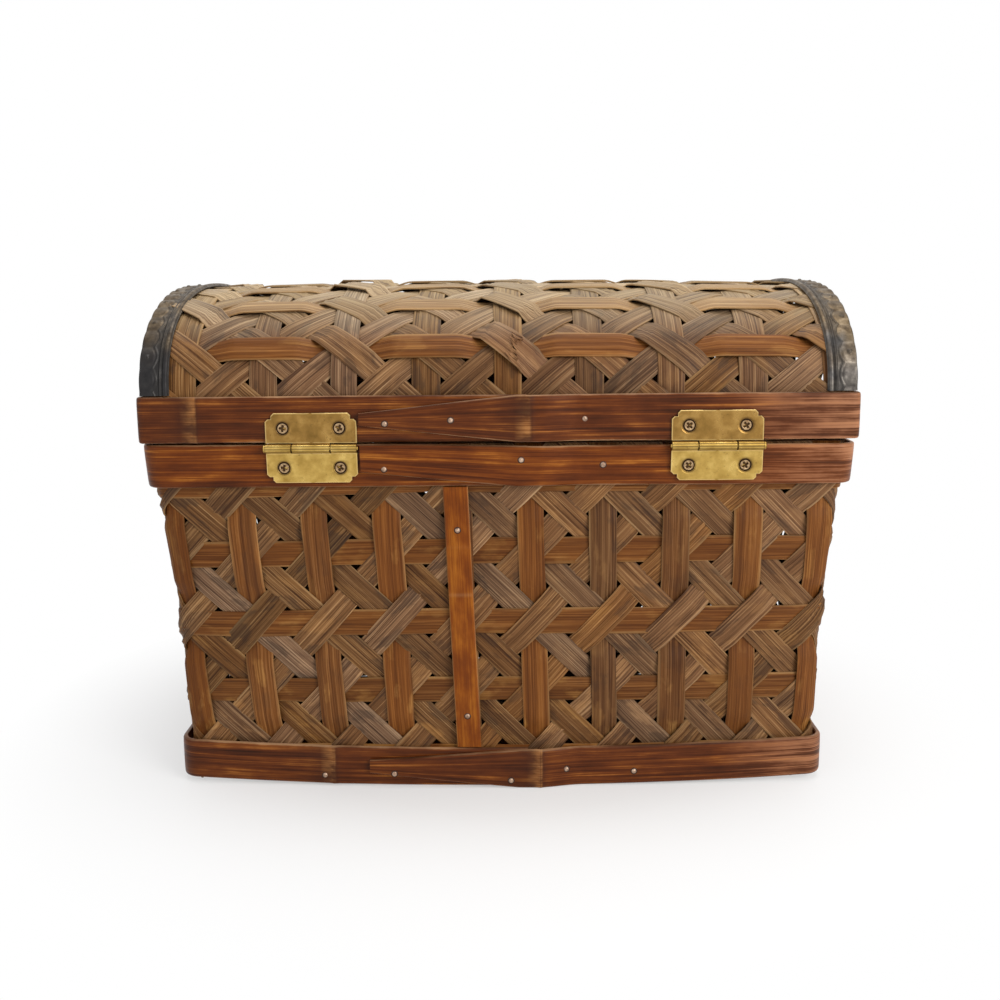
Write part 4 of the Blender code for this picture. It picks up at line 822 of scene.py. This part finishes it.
INNER_RADIUS = 3.0 * MM
INNER_JOINTS = np.array((200.0, 450.0, 700.0)) * MM
LID_RADIUS = 3.0 * MM
LID_JOINTS = np.array((125.0, 360.0, 610.0, -13.0)) * MM
LID_TIP = (5.6 * MM, 0.5)
BODY_RADIUS = 8.5 * MM
BODY_JOINTS = np.array((300.0, 520.0, 800.0)) * MM
BODY_TIP = (11.7 * MM, 0.0)
BODY_SAG = 1.1 * MM
BASE_RADIUS = 9.0 * MM
BASE_JOINTS = np.array((73.0, 330.0, 580.0, -17.5)) * MM
BASE_TIP = (6.2 * MM, 0.45)
BASE_ROCK = 2.6 * MM

add_hoop("lid_hoop", "lid", LID_RADIUS, LID_JOINTS, warmth=0.1, seed=1, tip=LID_TIP)
add_hoop(
    "body_hoop", "body", BODY_RADIUS, BODY_JOINTS,
    warmth=0.75, seed=2, lean=WALL_SLOPE, tip=BODY_TIP, sag=BODY_SAG,
)
add_hoop(
    "base_hoop", "body", BASE_RADIUS, BASE_JOINTS,
    warmth=0.15, seed=3, tip=BASE_TIP, bulge=BULGE, rock=BASE_ROCK,
)
add_hoop("lid_inner_hoop", "lid", INNER_RADIUS, INNER_JOINTS, warmth=0.4, seed=4)
add_hoop("body_inner_hoop", "body", INNER_RADIUS, INNER_JOINTS, warmth=0.5, seed=5, lean=WALL_SLOPE)
add_hoop("base_inner_hoop", "body", INNER_RADIUS, INNER_JOINTS, warmth=0.3, seed=6, lean=WALL_SLOPE)

# A slat runs up the back over the mat's seam, and one inside backs it. Each is a glossy orange-brown
# strip that follows the wall, and leans a little from foot to top.
SLAT_X = (13.6 * MM, 18.0 * MM)
SLAT_Z = (17.8 * MM, 133.3 * MM)
SLAT_STEPS = 90
SLAT_HALF = 5.3 * MM
SLAT_THICKNESS = 1.6 * MM
MAT_BACK = -3.3 * MM  # behind the mat's outer face, a little clear of its inner one
CRACKS = (106.9 * MM, 86.9 * MM)  # the heights of pale cracks across the outer slat
CRACK = (0.7, 0.25 * MM)  # how pale and how wide they are
SEED_TINT = 0.37  # sets the grain of each strip apart

slat_material, tree, shader = new_material("slat", 0.35, Specular_IOR_Level=0.12, Coat_Weight=0.02)
share, lines, streaks, patches, tint = strip_inputs(tree, SLAT_HALF, 1)
tone = weighed(tree, lines, 0.35, patches)
colour = ramp(tree, tone, (0.0, 0.09, 0.020, 0.002), (0.5, 0.20, 0.047, 0.003), (1.0, 0.38, 0.125, 0.010))
worn = times(tree, ease(tree, share, 0.9, 1.0, 0.0, 0.6), streaks)
colour = mixed(tree, sums(tree, "MAXIMUM", worn, tint[0]), colour, (0.55, 0.33, 0.15))
dress(tree, shader, colour, tone, 0.06 * MM, 0.5)


def wall_back(x, z):
    """Where the mat's outer face is behind the trunk's middle."""
    return TOP_HALF[1] - WALL_SLOPE * (WALL_TOP - z) + belly(x / TOP_HALF[0], z)


def add_slat(node, inner_face, cracks, seed):
    """A strip up the back, its inner face at a distance out of the mat's outer face."""
    z = np.linspace(*SLAT_Z, SLAT_STEPS)[:, None]
    x = np.interp(z, SLAT_Z, SLAT_X) + SLAT_HALF * HOOP_ACROSS
    y = wall_back(x, z) + inner_face + SLAT_THICKNESS * (1 - HOOP_DOWN)
    band = sum((bell(CRACK, z - crack) for crack in cracks), 0 * z)
    tube = stacked(x, y, z), stacked(z + seed, HOOP_ACROSS), stacked(band, SEED_TINT * seed)
    add_tubes(node + "_strip", [tube], "body", (node,), slat_material)


add_slat("back_slat", FACE_GAP, CRACKS, seed=1)
add_slat("back_inner_slat", MAT_BACK - SLAT_THICKNESS, (), seed=2)

# Bent ribs of the same wood line the corners between the barrel and its ends.
# They run round the inside of the arch, clear of the mat.
rib_low, rib_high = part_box("lid_rib_right")
RIB_THICKNESS = 3.0 * MM
RIB_STEPS = 160


def arch_foot(height):
    """The place along the arch, on the front, at a height."""
    front = slice(len(arch_z) // 2)
    return np.interp(height, arch_z[front], arch_length[front])


def add_rib(node, side, seed):
    """A strip along the inside of the arch, between the frame's places along the trunk."""
    along = np.linspace(1, -1, RIB_STEPS)[:, None] * arch_foot(rib_low.z)
    x = (side * (rib_low.x + rib_high.x) + (rib_high.x - rib_low.x) * HOOP_ACROSS) / 2
    points = place_on_arch(along, x, MAT_BACK - RIB_THICKNESS * HOOP_DOWN)
    tube = points, stacked(along + seed, HOOP_ACROSS), (0.0, SEED_TINT * seed)
    add_tubes(node + "_strip", [tube], "lid", (node,), slat_material)


add_rib("lid_rib_right", side=1, seed=3)
add_rib("lid_rib_left", side=-1, seed=4)

# Pressed tin wraps the edge of the barrel at each end. Across its band run a rolled rib, a thinner
# one, and a scalloped line whose lobes are slightly domed, with a small nail in every other lobe.
TIN = 0.7 * MM
TIN_STEP = 0.5 * MM
TIN_BAND = 12.4 * MM
TIN_BEND = 0.8 * MM  # the radius of the band's outer edge
TIN_FLANGE = 9.0 * MM
TIN_FACE = 0.75 * MM  # how far the flat of the band stands out of the mat
TIN_INSIDE = 0.35 * MM  # how far its inner side does
TIN_POINTS = (50, 7, 9)  # across the band, round its bend and down the flange
TIN_CLEAN = (0.8, 0.6, 0.4)  # how clean the bend, the flange and the inside are
# What is pressed in the band: places across it, and heights with half widths
ROLLED_PLACE = 1.5 * MM
ROLLED_RIB = (1.15 * MM, 1.2 * MM)
ROLLED_CLEAN = 1.3 * MM
THIN_PLACE = 3.7 * MM
THIN_RIB = (0.6 * MM, 0.45 * MM)
SCALLOP_PLACE = 6.9 * MM
SCALLOP_DEPTH = 1.7 * MM
SCALLOP_PITCH = 9.6 * MM
SCALLOP_RIB = (0.5 * MM, 0.4 * MM)
LOBE = (0.55 * MM, 1.6 * MM)
TIN_NAIL_PLACE = 9.4 * MM
TIN_NAIL = (0.55 * MM, 0.9 * MM)
TIN_NAIL_DIRT = 1.2 * MM
DENTS = ((0.25 * MM, 17.0 * MM), (1.0, 41.0 * MM))
DENT_FADE = 6.0 * MM
FLANGE_WAVE = (0.21 * MM, 4.0 * MM)


def flecks(tree, scale, detail, roughness=0.55):
    """Smooth noise over the object, with a number of grains a metre, or one for each axis."""
    scale = scale if isinstance(scale, tuple) else (scale,) * 3
    place = add_node(tree, "VectorMath", {0: object_place(tree), 1: scale}, operation="MULTIPLY")
    return noise(tree, place.outputs[0], detail, roughness)


tin_material, tree, shader = new_material("tin", 0.42, Metallic=0.85)
axes = axes_of(tree, object_place(tree))
spots = flecks(tree, 260.0, 5.0, 0.65)
clouds = flecks(tree, 45.0, 3.0)
metal = ramp(tree, spots, (0.3, 0.040, 0.038, 0.038), (0.5, 0.088, 0.082, 0.078), (0.7, 0.168, 0.157, 0.144))
rust = ramp(tree, spots, (0.3, 0.044, 0.027, 0.012), (0.5, 0.103, 0.070, 0.037), (0.7, 0.180, 0.133, 0.080))
upper = ease(tree, axes[2], 180.0 * MM, 205.0 * MM)
upper = sums(tree, "ADD", upper, ease(tree, clouds, 0.4, 0.6, -0.3, 0.3))
colour = mixed(tree, ease(tree, upper, 0.2, 0.8), metal, rust)
# The tin at the +X end turns nearly black towards its foot.
dark_low_plus_x = ease(tree, sums(tree, "MULTIPLY_ADD", clouds, 30.0 * MM, axes[2]), 225.0 * MM, 205.0 * MM)
dark_low_plus_x = times(tree, dark_low_plus_x, ease(tree, axes[0], 0.0, 10.0 * MM, 0.0, 0.85))
colour = mixed(tree, dark_low_plus_x, colour, (0.018, 0.017, 0.018))
dirty = ease(tree, layer_of(tree, "tint")[0], 0.0, 0.6, 0.7, 0.0)
colour = mixed(tree, dirty, colour, (0.03, 0.028, 0.026))
dress(tree, shader, colour, clouds, 0.3 * MM, 0.5, ease(tree, spots, 0.3, 0.7, 0.6, 0.34))


def half_round(size, away):
    """Half an ellipse of a (height, half width) at a distance from its middle."""
    return size[0] * np.sqrt(np.clip(1 - (away / size[1]) ** 2, 0, 1))


def add_tin(node, side, seed):
    """The edging of one end. Its section runs across the band, round its edge and down the flange, then
    back inside. Its tint is 1 where the metal is clean and 0 where dirt gathers."""
    foot = arch_foot(hoop_top + FACE_GAP)
    along = np.linspace(foot, -foot, round(-2 * foot / TIN_STEP) + 1)[:, None]
    across = np.linspace(0.0, TIN_BAND - TIN_BEND, TIN_POINTS[0])
    lobe = np.abs(np.sin(math.pi * along / SCALLOP_PITCH))
    line = SCALLOP_PLACE - SCALLOP_DEPTH * lobe
    inside = smoothstep(0.0, LOBE[1], across - line)
    nail = (2 * np.round(along / (2 * SCALLOP_PITCH) - 0.25) + 0.5) * SCALLOP_PITCH
    from_nail = np.hypot(along - nail, across - TIN_NAIL_PLACE)
    height = TIN_FACE + half_round(ROLLED_RIB, across - ROLLED_PLACE) + bell(THIN_RIB, across - THIN_PLACE)
    height = height + bell(SCALLOP_RIB, across - line) + LOBE[0] * inside * lobe
    phase = np.random.default_rng(seed).uniform(0, 6)
    dents = wave(DENTS[0], along, phase) * wave(DENTS[1], along, 0.0)
    height = height + half_round(TIN_NAIL, from_nail) + dents * smoothstep(0.0, DENT_FADE, across)
    clean = 0.15 + inside + np.clip(1 - np.abs(across - ROLLED_PLACE) / ROLLED_CLEAN, 0, 1)
    clean = np.where(from_nail < TIN_NAIL_DIRT, 0.2, np.clip(clean, 0, 1))
    turn = np.linspace(0.0, math.pi / 2, TIN_POINTS[1])[1:]
    bend_u = TIN_BAND - TIN_BEND + TIN_BEND * np.sin(turn) + 0 * along
    bend_out = height[:, -1:] - TIN_BEND * (1 - np.cos(turn))
    drop = np.linspace(0.1, 1.0, TIN_POINTS[2])
    flange_u = TIN_BAND + np.sin(drop * math.pi) * wave(FLANGE_WAVE, along, math.pi / 2)
    flange_out = bend_out[:, -1:] * (1 - drop) - TIN_FLANGE * drop
    u = np.concatenate((across + 0 * along, bend_u, flange_u), axis=1)
    out = np.concatenate((height, bend_out, flange_out), axis=1)
    back = slice(None, None, -4)
    inner_u = np.minimum(u[:, back], TIN_BAND - TIN)
    inner_out = np.minimum(out[:, back], TIN_INSIDE)
    rest = [0 * part + shade for part, shade in zip((bend_u, flange_u, inner_u), TIN_CLEAN)]
    u, out = np.concatenate((u, inner_u), axis=1), np.concatenate((out, inner_out), axis=1)
    x = side * (dome_high.x + FACE_GAP - TIN_BAND + u + TIN_BEND)
    tint = stacked(np.concatenate((clean, *rest), axis=1), 0.0)
    tube = place_on_arch(along, x, out), stacked(along, u), tint
    add_tubes(node + "_sheet", [tube], "lid", (node,), tin_material, sharp=75)


add_tin("tin_edging_right", side=1, seed=41)
add_tin("tin_edging_left", side=-1, seed=42)

# Small round-headed steel nails hold the hoops' laps and the slat. Their heads are rubbed bright and
# stand in dark dents in the wood.
NAIL_RADIUS = 1.0 * MM
NAIL_RING = 16
# From the dent's edge to the top: shares of the nail's radius, out from its middle and up from the wood
NAIL_PROFILE = np.array(
    ((1.5, -0.4), (1.5, 0.03), (1.15, 0.1), (1.0, 0.2), (0.85, 0.42), (0.55, 0.62), (0.2, 0.7), (0.02, 0.71))
)
# Places of the nails along the trunk and up it
LID_NAILS = np.array(((46.3, 160.4), (19.2, 161.7), (-35.9, 161.7))) * MM
BODY_NAILS = np.array(((47.1, 141.5), (-9.6, 145.0), (-43.6, 142.4))) * MM
BASE_NAILS = np.array(((77.1, 4.2), (46.3, 6.5), (-4.5, 3.7), (-28.6, 8.0), (-58.2, 6.0))) * MM
SLAT_NAILS = np.array(((17.3, 114.7), (14.2, 32.3))) * MM

nail_material, tree, shader = new_material("nail", 0.38, Metallic=0.6)
spots = flecks(tree, 900.0, 3.0)
bright = ramp(tree, spots, (0.3, 0.20, 0.11, 0.065), (0.7, 0.60, 0.43, 0.31))
colour = mixed(tree, ease(tree, layer_of(tree, "tint")[0], 0.6, 0.78), bright, (0.035, 0.013, 0.006))
dress(tree, shader, colour, spots, 0.05 * MM, 0.5)


def turned(radius, height, middle, normal):
    """A tube turned about an axis through a point. radius and height are rows x ring, in metres."""
    facing = np.array(Vector(normal).to_track_quat("Z", "Y").to_matrix())
    angle = np.linspace(0.0, 2.0 * math.pi, radius.shape[1], endpoint=False)
    local = stacked(radius * np.cos(angle), radius * np.sin(angle), height)
    return local @ facing.T + np.array(middle)


def add_nails(name, body, places):
    """Nails at places of X, height and distance behind the trunk's middle."""
    radius, height = NAIL_PROFILE.T[:, :, None] * NAIL_RADIUS + np.zeros(NAIL_RING)
    tint = stacked(radius / radius.max(), 0.0)
    nails = [(turned(radius, height, (x, y, z), (0.0, 1.0, 0.0)), tint, tint) for x, z, y in places]
    add_tubes(name, nails, body, (), nail_material)


def lap_out(x):
    """How far the outer end of a hoop stands out at a place along the trunk."""
    return LAP_OUT * smoothstep(*LAP_RAMP, x) * (x < LAP_TIP)


lid_face, body_face, base_face = (-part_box(name + "_hoop")[0].y for name in ("lid", "body", "base"))
body_hoop_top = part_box("body_hoop")[1].z
base_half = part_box("base_hoop")[1].x
lid_places = [(x, z, lid_face + lap_out(x)) for x, z in LID_NAILS]
body_places = [(x, z, body_face - WALL_SLOPE * (body_hoop_top - z) + lap_out(x)) for x, z in BODY_NAILS]
for x, z in BASE_NAILS:
    side = (x / base_half) ** 2
    body_places.append((x, z + BASE_ROCK * side, base_face + BULGE * (1 - side) + lap_out(x)))
body_places += [(x, z, wall_back(x, z) + FACE_GAP + SLAT_THICKNESS) for x, z in SLAT_NAILS]
add_nails("lid_nails", "lid", lid_places)
add_nails("body_nails", "body", body_places)

# The two butt hinges are thin rolled brass: two leaves with stepped, chamfered corners, whose edges
# are rolled round a pin into a ribbed barrel. The lid's leaves are tarnished brown, the body's are
# still yellow, and rubbed edges are bright.
LEAF_THICKNESS = 0.9 * MM
LEAF_HEIGHT = 14.6 * MM
LEAF_FOOT = 2.1 * MM
LEAF_CHAMFER = 1.1 * MM
LEAF_NOTCH = 2.5 * MM
LEAF_BEVEL = 0.14 * MM
LEAF_STEPS = 90
HOLE_RADIUS = 2.62 * MM
HOLE_FLOOR = 0.15 * MM
BARREL_RADIUS = 1.9 * MM
BARREL_PROUD = 0.15 * MM
BARREL_ROUND = 0.2 * MM
BORE_RADIUS = 0.95 * MM
BARREL_TURN = (-0.35, 5.75)
BARREL_RING = 96
BARREL_RIBS = 10
RIB_SHARE = 0.035  # how deep the ribs' grooves are, as a share of the radius
MIDDLE_HALF = 8.0 * MM
KNUCKLE_GAP = 0.2 * MM
PIN_RADIUS = 0.8 * MM
PIN_RING = 32
PIN_HEAD_RADIUS = 1.7 * MM
PIN_HEAD_LENGTH = 1.1 * MM
PIN_HEAD_GAP = 0.05 * MM
PIN_TAIL = 0.4 * MM
TARNISH_HEIGHTS = (1.6 * MM, 2.2 * MM)  # above the pin, where the lid's leaves begin
DENT_RING = 2.85 * MM  # the radius of the pressed ring round each screw, painted dark as shade at the countersink's edge


def middle_of(node):
    """The middle of one of the frame's boxes."""
    return np.mean([tuple(corner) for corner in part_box(node)], axis=0)


leaf_low, leaf_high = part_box("hinge_left_lid_leaf")
HINGE_PLACES = {side: middle_of(f"hinge_{side}_lid_leaf")[0] for side in ("left", "right")}
PIN_Y, PIN_HEIGHT = middle_of("hinge_left_pin")[1:]
LEAF_HALF = (leaf_high.x - leaf_low.x) / 2
LEAF_BACK = BARREL_PROUD - BARREL_RADIUS
LEAF_FACE = LEAF_BACK + LEAF_THICKNESS
LEAF_LEAN = math.atan(WALL_SLOPE)
SCREW_ASIDE = abs(middle_of("hinge_left_lid_screw_1")[0] - HINGE_PLACES["left"])
SCREW_UP = middle_of("hinge_left_lid_screw_1")[2] - PIN_HEIGHT


def fold(tree, value, middle, reach):
    """How far a value lies beyond a reach to either side of a middle."""
    return sums(tree, "SUBTRACT", sums(tree, "ABSOLUTE", sums(tree, "SUBTRACT", value, middle)), reach)


brass_material, tree, shader = new_material("aged_brass", 0.3, Metallic=0.85)
axes = axes_of(tree, object_place(tree))
hinge_span = abs(HINGE_PLACES["left"] - HINGE_PLACES["right"])
hinge_x = fold(tree, axes[0], sum(HINGE_PLACES.values()) / 2, hinge_span / 2)
screw_x = fold(tree, hinge_x, 0.0, SCREW_ASIDE)
screw_z = fold(tree, axes[2], PIN_HEIGHT, SCREW_UP)
screw_way = add_node(tree, "CombineXYZ", {0: screw_x, 1: screw_z}).outputs[0]
screw_away = add_node(tree, "VectorMath", {0: screw_way}, operation="LENGTH").outputs["Value"]
clouds = flecks(tree, 150.0, 4.0)
spots = flecks(tree, 700.0, 4.0, 0.65)
brushed = flecks(tree, (60.0, 900.0, 900.0), 2.0)
yellow = ramp(tree, clouds, (0.3, 0.34, 0.205, 0.041), (0.5, 0.50, 0.32, 0.078), (0.7, 0.70, 0.485, 0.145))
brown = ramp(tree, clouds, (0.3, 0.165, 0.085, 0.018), (0.5, 0.27, 0.142, 0.034), (0.7, 0.42, 0.238, 0.066))
tarnished = ease(tree, axes[2], *(PIN_HEIGHT + height for height in TARNISH_HEIGHTS), 0.0, 0.85)
colour = mixed(tree, tarnished, yellow, brown)
colour = mixed(tree, ease(tree, spots, 0.60, 0.72, 0.0, 0.55), colour, (0.10, 0.055, 0.016))
# Painted shade: a dark ring along the pressed ring round each screw, at the countersink's edge.
from_ring = sums(tree, "ABSOLUTE", sums(tree, "SUBTRACT", screw_away, DENT_RING))
colour = mixed(tree, ease(tree, from_ring, 0.4 * MM, 0.05 * MM, 0.0, 0.6), colour, (0.07, 0.035, 0.01))
# Painted shade darkens the screw holes, the bore and ends of the knuckles, the grooves between the barrel's
# ribs and the leaves' backs.
rubbed, painted_shade = layer_of(tree, "tint")[:2]
colour = mixed(tree, times(tree, rubbed, 0.8), colour, (0.85, 0.62, 0.25))
colour = mixed(tree, painted_shade, colour, (0.07, 0.035, 0.012))
pressed = ease(tree, from_ring, 0.7 * MM, 0.0, 1.0, 0.0)
relief = sums(tree, "MULTIPLY_ADD", brushed, 0.12, pressed)
dress(tree, shader, colour, relief, 0.25 * MM, 0.7, ease(tree, clouds, 0.3, 0.7, 0.42, 0.24))


def leaf_place(side, way, across, up, out):
    """A point of a leaf from its pin: across along the trunk, up the leaf and out of its face. The lid's
    leaf, whose way is 1, stands upright, and the body's hangs with the lean of the wall."""
    lean = 0.0 if way > 0 else LEAF_LEAN
    y = PIN_Y + out * math.cos(lean) - up * math.sin(lean)
    z = PIN_HEIGHT + way * up * math.cos(lean) - out * math.sin(lean)
    return stacked(HINGE_PLACES[side] + across, y, z)


def leaf_half(side, way, hand):
    """Half of a leaf, as rings that spread from its screw hole's floor over its face to its outline and
    back under it. The outline is a rectangle with a stepped corner, both tips of which are chamfered."""
    step_x, step_y = LEAF_HALF - LEAF_NOTCH, LEAF_HEIGHT - LEAF_NOTCH
    outline = np.array((
        (LEAF_HALF, LEAF_FOOT),
        (LEAF_HALF, step_y - LEAF_CHAMFER),
        (LEAF_HALF - LEAF_CHAMFER, step_y),
        (step_x, step_y),
        (step_x, LEAF_HEIGHT - LEAF_CHAMFER),
        (step_x - LEAF_CHAMFER, LEAF_HEIGHT),
        (0.0, LEAF_HEIGHT),
        (0.0, LEAF_FOOT),
        (LEAF_HALF, LEAF_FOOT),
    ))
    run = run_of(np.hypot(*np.diff(outline, axis=0).T))
    places = np.union1d(run[:-1], np.linspace(0.0, run[-1], LEAF_STEPS, endpoint=False))
    edge = np.stack([np.interp(places, run, values) for values in outline.T], axis=-1)
    middle = np.array((SCREW_ASIDE, SCREW_UP))
    ray = (edge - middle) / np.hypot(*(edge - middle).T)[:, None]
    inner = edge - ray * LEAF_BEVEL
    at_middle = edge[:, 0] < LEAF_BEVEL
    inner[at_middle, 0] = edge[at_middle, 0]
    point = middle + ray * LEAF_BEVEL
    rim = middle + ray * HOLE_RADIUS
    wide_rim = rim + ray * LEAF_BEVEL
    # The last number of each row is painted shade: in the screw hole and under the leaf.
    rows = (
        (point, LEAF_BACK + HOLE_FLOOR, 0.0, 1.0),
        (rim, LEAF_BACK + HOLE_FLOOR, 0.0, 1.0),
        (rim, LEAF_FACE - LEAF_BEVEL, 0.0, 0.9),
        (wide_rim, LEAF_FACE, 0.0, 0.3),
        (wide_rim + (inner - wide_rim) * 0.3, LEAF_FACE, 0.0, 0.0),
        (wide_rim + (inner - wide_rim) * 0.9, LEAF_FACE, 0.0, 0.0),
        (inner, LEAF_FACE, 0.9, 0.0),
        (edge, LEAF_FACE - LEAF_BEVEL, 0.6, 0.0),
        (edge, LEAF_BACK, 0.0, 0.6),
        (point, LEAF_BACK, 0.0, 0.6),
    )
    plane, out, rubbed, painted_shade = zip(*rows)
    plane = np.stack(plane)
    tint = np.array((rubbed, painted_shade)).T[:, None] * ~at_middle[:, None]
    points = leaf_place(side, way, hand * plane[..., 0], plane[..., 1], np.array(out)[:, None])
    return points, plane / MM, tint


def barrel_part(side, way, start, end):
    """A knuckle between two places along the pin: the leaf's edge rolled round it, once about, with ribs
    along its outside. It begins on the leaf's back and ends just short of it."""
    turn = np.linspace(*BARREL_TURN, BARREL_RING)[:, None]
    across, radius, shade = np.array((
        (start + BARREL_ROUND, BARREL_RADIUS, 0.0),
        (end - BARREL_ROUND, BARREL_RADIUS, 0.0),
        (end, BARREL_RADIUS - BARREL_ROUND, 0.7),
        (end, BORE_RADIUS, 1.0),
        (start, BORE_RADIUS, 1.0),
        (start, BARREL_RADIUS - BARREL_ROUND, 0.7),
    )).T
    groove = (0.5 + 0.5 * np.cos(BARREL_RIBS * turn)) ** 2 * (radius > BORE_RADIUS)
    radius = radius * (1.0 - RIB_SHARE * groove)
    points = leaf_place(side, way, across, radius * np.sin(turn), -radius * np.cos(turn))
    # The bore, the knuckle's ends and the grooves between its ribs are painted dark as shade.
    return points, stacked(across, turn), stacked(0.0, np.maximum(shade, 0.7 * groove))


def leaf_tab(side, way, start, end):
    """The bend that joins a leaf to its part of the barrel."""
    up = np.array((0.0, LEAF_FOOT + LEAF_BEVEL, LEAF_FOOT + LEAF_BEVEL, BARREL_RADIUS * 0.8))
    out = np.array((LEAF_BACK, LEAF_BACK, LEAF_FACE, LEAF_FACE))
    across = np.array((start + BARREL_ROUND, end - BARREL_ROUND))[:, None]
    return leaf_place(side, way, across, up, out), np.zeros(2), np.zeros(2)


def pin_tube(side, head_way):
    """A pin with a domed head at one end."""
    shoulder = LEAF_HALF + PIN_HEAD_GAP
    across, radius = np.array((
        (-LEAF_HALF - PIN_TAIL, 0.05 * MM),
        (-LEAF_HALF - PIN_TAIL, PIN_RADIUS - 0.1 * MM),
        (-LEAF_HALF, PIN_RADIUS),
        (shoulder, PIN_RADIUS),
        (shoulder, PIN_HEAD_RADIUS),
        (LEAF_HALF + PIN_HEAD_LENGTH * 0.5, PIN_HEAD_RADIUS),
        (LEAF_HALF + PIN_HEAD_LENGTH * 0.85, PIN_HEAD_RADIUS * 0.75),
        (LEAF_HALF + PIN_HEAD_LENGTH, PIN_HEAD_RADIUS * 0.35),
        (LEAF_HALF + PIN_HEAD_LENGTH, 0.05 * MM),
    )).T[:, :, None]
    angle = np.linspace(0.0, 2.0 * math.pi, PIN_RING, endpoint=False)
    y, z = PIN_Y + radius * np.cos(angle), PIN_HEIGHT + radius * np.sin(angle)
    return stacked(HINGE_PLACES[side] + head_way * across, y, z), np.zeros(2), np.zeros(2)


OUTER_KNUCKLES = ((-LEAF_HALF, -MIDDLE_HALF - KNUCKLE_GAP), (MIDDLE_HALF + KNUCKLE_GAP, LEAF_HALF))
MIDDLE_KNUCKLES = ((-MIDDLE_HALF + KNUCKLE_GAP, MIDDLE_HALF - KNUCKLE_GAP),)
for side, head_way in (("left", -1), ("right", 1)):
    for body, way, knuckles in (("lid", 1, MIDDLE_KNUCKLES), ("body", -1, OUTER_KNUCKLES)):
        tubes = [leaf_half(side, way, hand) for hand in (-1, 1)]
        for start, end in knuckles:
            tubes += [barrel_part(side, way, start, end), leaf_tab(side, way, start, end)]
        node = f"hinge_{side}_{body}_leaf"
        add_tubes(node + "_rolled", tubes, body, (node,), brass_material, sharp=35)
    node = f"hinge_{side}_pin"
    tubes = [pin_tube(side, head_way)]
    add_tubes(node + "_headed", tubes, "body", (node,), brass_material, sharp=40)

# The screws are countersunk, with a deep cross recess that is filled with grime, and stand in a ring
# painted dark as shade, where the countersink is wider than the head. Below it the shank is plain.
SHANK_RADIUS = 1.1 * MM
SCREW_LENGTH = 5.0 * MM
HEAD_RADIUS = 2.1 * MM
RING_DROP = 0.4 * MM  # how deep the ring, painted dark as shade, lies below the head
RING_EDGE = (HEAD_RADIUS - 0.1 * MM, HEAD_RADIUS + 0.08 * MM)
RECESS_SIDE = (0.52 * MM, 0.28 * MM)  # how far from a bar's middle its side begins and ends
RECESS_END = (1.55 * MM, 1.15 * MM)
RECESS_DEPTH = 0.9 * MM
SCREW_SINK = 0.05 * MM
SCREW_RING = 72
# Rings of the head, of the countersink round it and of the shank, out from the middle
HEAD_RINGS = np.concatenate(((0.01,), np.linspace(0.1, 1.9, 19), (2.02, 2.1, 2.18, 2.5))) * MM
SHANK_RINGS = np.array((SHANK_RADIUS, SHANK_RADIUS, 0.1 * MM))
SHANK_HEIGHTS = np.array((-1.4 * MM, -2.8 * MM, -SCREW_LENGTH))

screw_material, tree, shader = new_material("screw", 0.34, Metallic=0.9)
spots = flecks(tree, 1100.0, 3.0)
plated = ramp(tree, spots, (0.3, 0.20, 0.105, 0.045), (0.7, 0.58, 0.41, 0.23))
# Grime darkens the cross recess, and painted shade darkens the ring round the head.
grime_and_shade = sums(tree, "ADD", layer_of(tree, "tint")[0], ease(tree, spots, 0.4, 0.7, -0.25, 0.25))
colour = mixed(tree, ease(tree, grime_and_shade, 0.3, 0.6), plated, (0.03, 0.014, 0.006))
dress(tree, shader, colour, spots, 0.04 * MM, 0.4, ease(tree, spots, 0.3, 0.7, 0.42, 0.28))


def screw_tube(middle, normal, seed):
    """A screw whose head's middle and axis are given, its cross turned at random."""
    turn = np.random.default_rng(seed).uniform(0.0, math.pi / 2)
    radius = np.concatenate((HEAD_RINGS, SHANK_RINGS))[:, None] + np.zeros(SCREW_RING)
    angle = np.linspace(0.0, 2.0 * math.pi, SCREW_RING, endpoint=False) + turn
    across, up = np.abs(radius * np.cos(angle)), np.abs(radius * np.sin(angle))
    bars = [smoothstep(*RECESS_SIDE, a) * smoothstep(*RECESS_END, b) for a, b in ((across, up), (up, across))]
    recess = np.maximum(*bars)
    rim = smoothstep(*RING_EDGE, radius)
    height = -RECESS_DEPTH * recess - RING_DROP * rim
    height[len(HEAD_RINGS):] = SHANK_HEIGHTS[:, None]
    # The share painted dark: grime in the recess, and painted shade in the ring.
    tint = stacked(np.maximum(recess, rim), 0.0)
    return turned(radius, height, middle, normal), tint, tint


for body, way in (("lid", 1), ("body", -1)):
    lean = 0.0 if way > 0 else LEAF_LEAN
    tubes, nodes = [], []
    for side in ("left", "right"):
        for index, hand in ((1, -1), (2, 1)):
            middle = leaf_place(side, way, hand * SCREW_ASIDE, SCREW_UP, LEAF_FACE - SCREW_SINK)
            tubes.append(screw_tube(middle, (0.0, math.cos(lean), -math.sin(lean)), len(nodes)))
            nodes.append(f"hinge_{side}_{body}_screw_{index}")
    for index in (1, 2):
        node = f"latch_{body}_plate_screw_{index}"
        middle = middle_of(node)
        middle[1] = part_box(node)[0].y + SCREW_SINK
        tubes.append(screw_tube(middle, (0.0, -1.0, 0.0), len(nodes)))
        nodes.append(node)
    add_tubes(f"{body}_screws", tubes, body, nodes, screw_material, sharp=40)

# The catch on the front is a flat brass hook that turns on a rivet and drops over a stud, each on a
# small screwed plate. These keep the frame's shapes and take the hinges' brass.
for node in ("latch_body_plate", "latch_lid_plate", "latch_rivet", "latch_stud", "latch_hook"):
    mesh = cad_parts[node].data
    mesh.materials.clear()
    mesh.materials.append(brass_material)
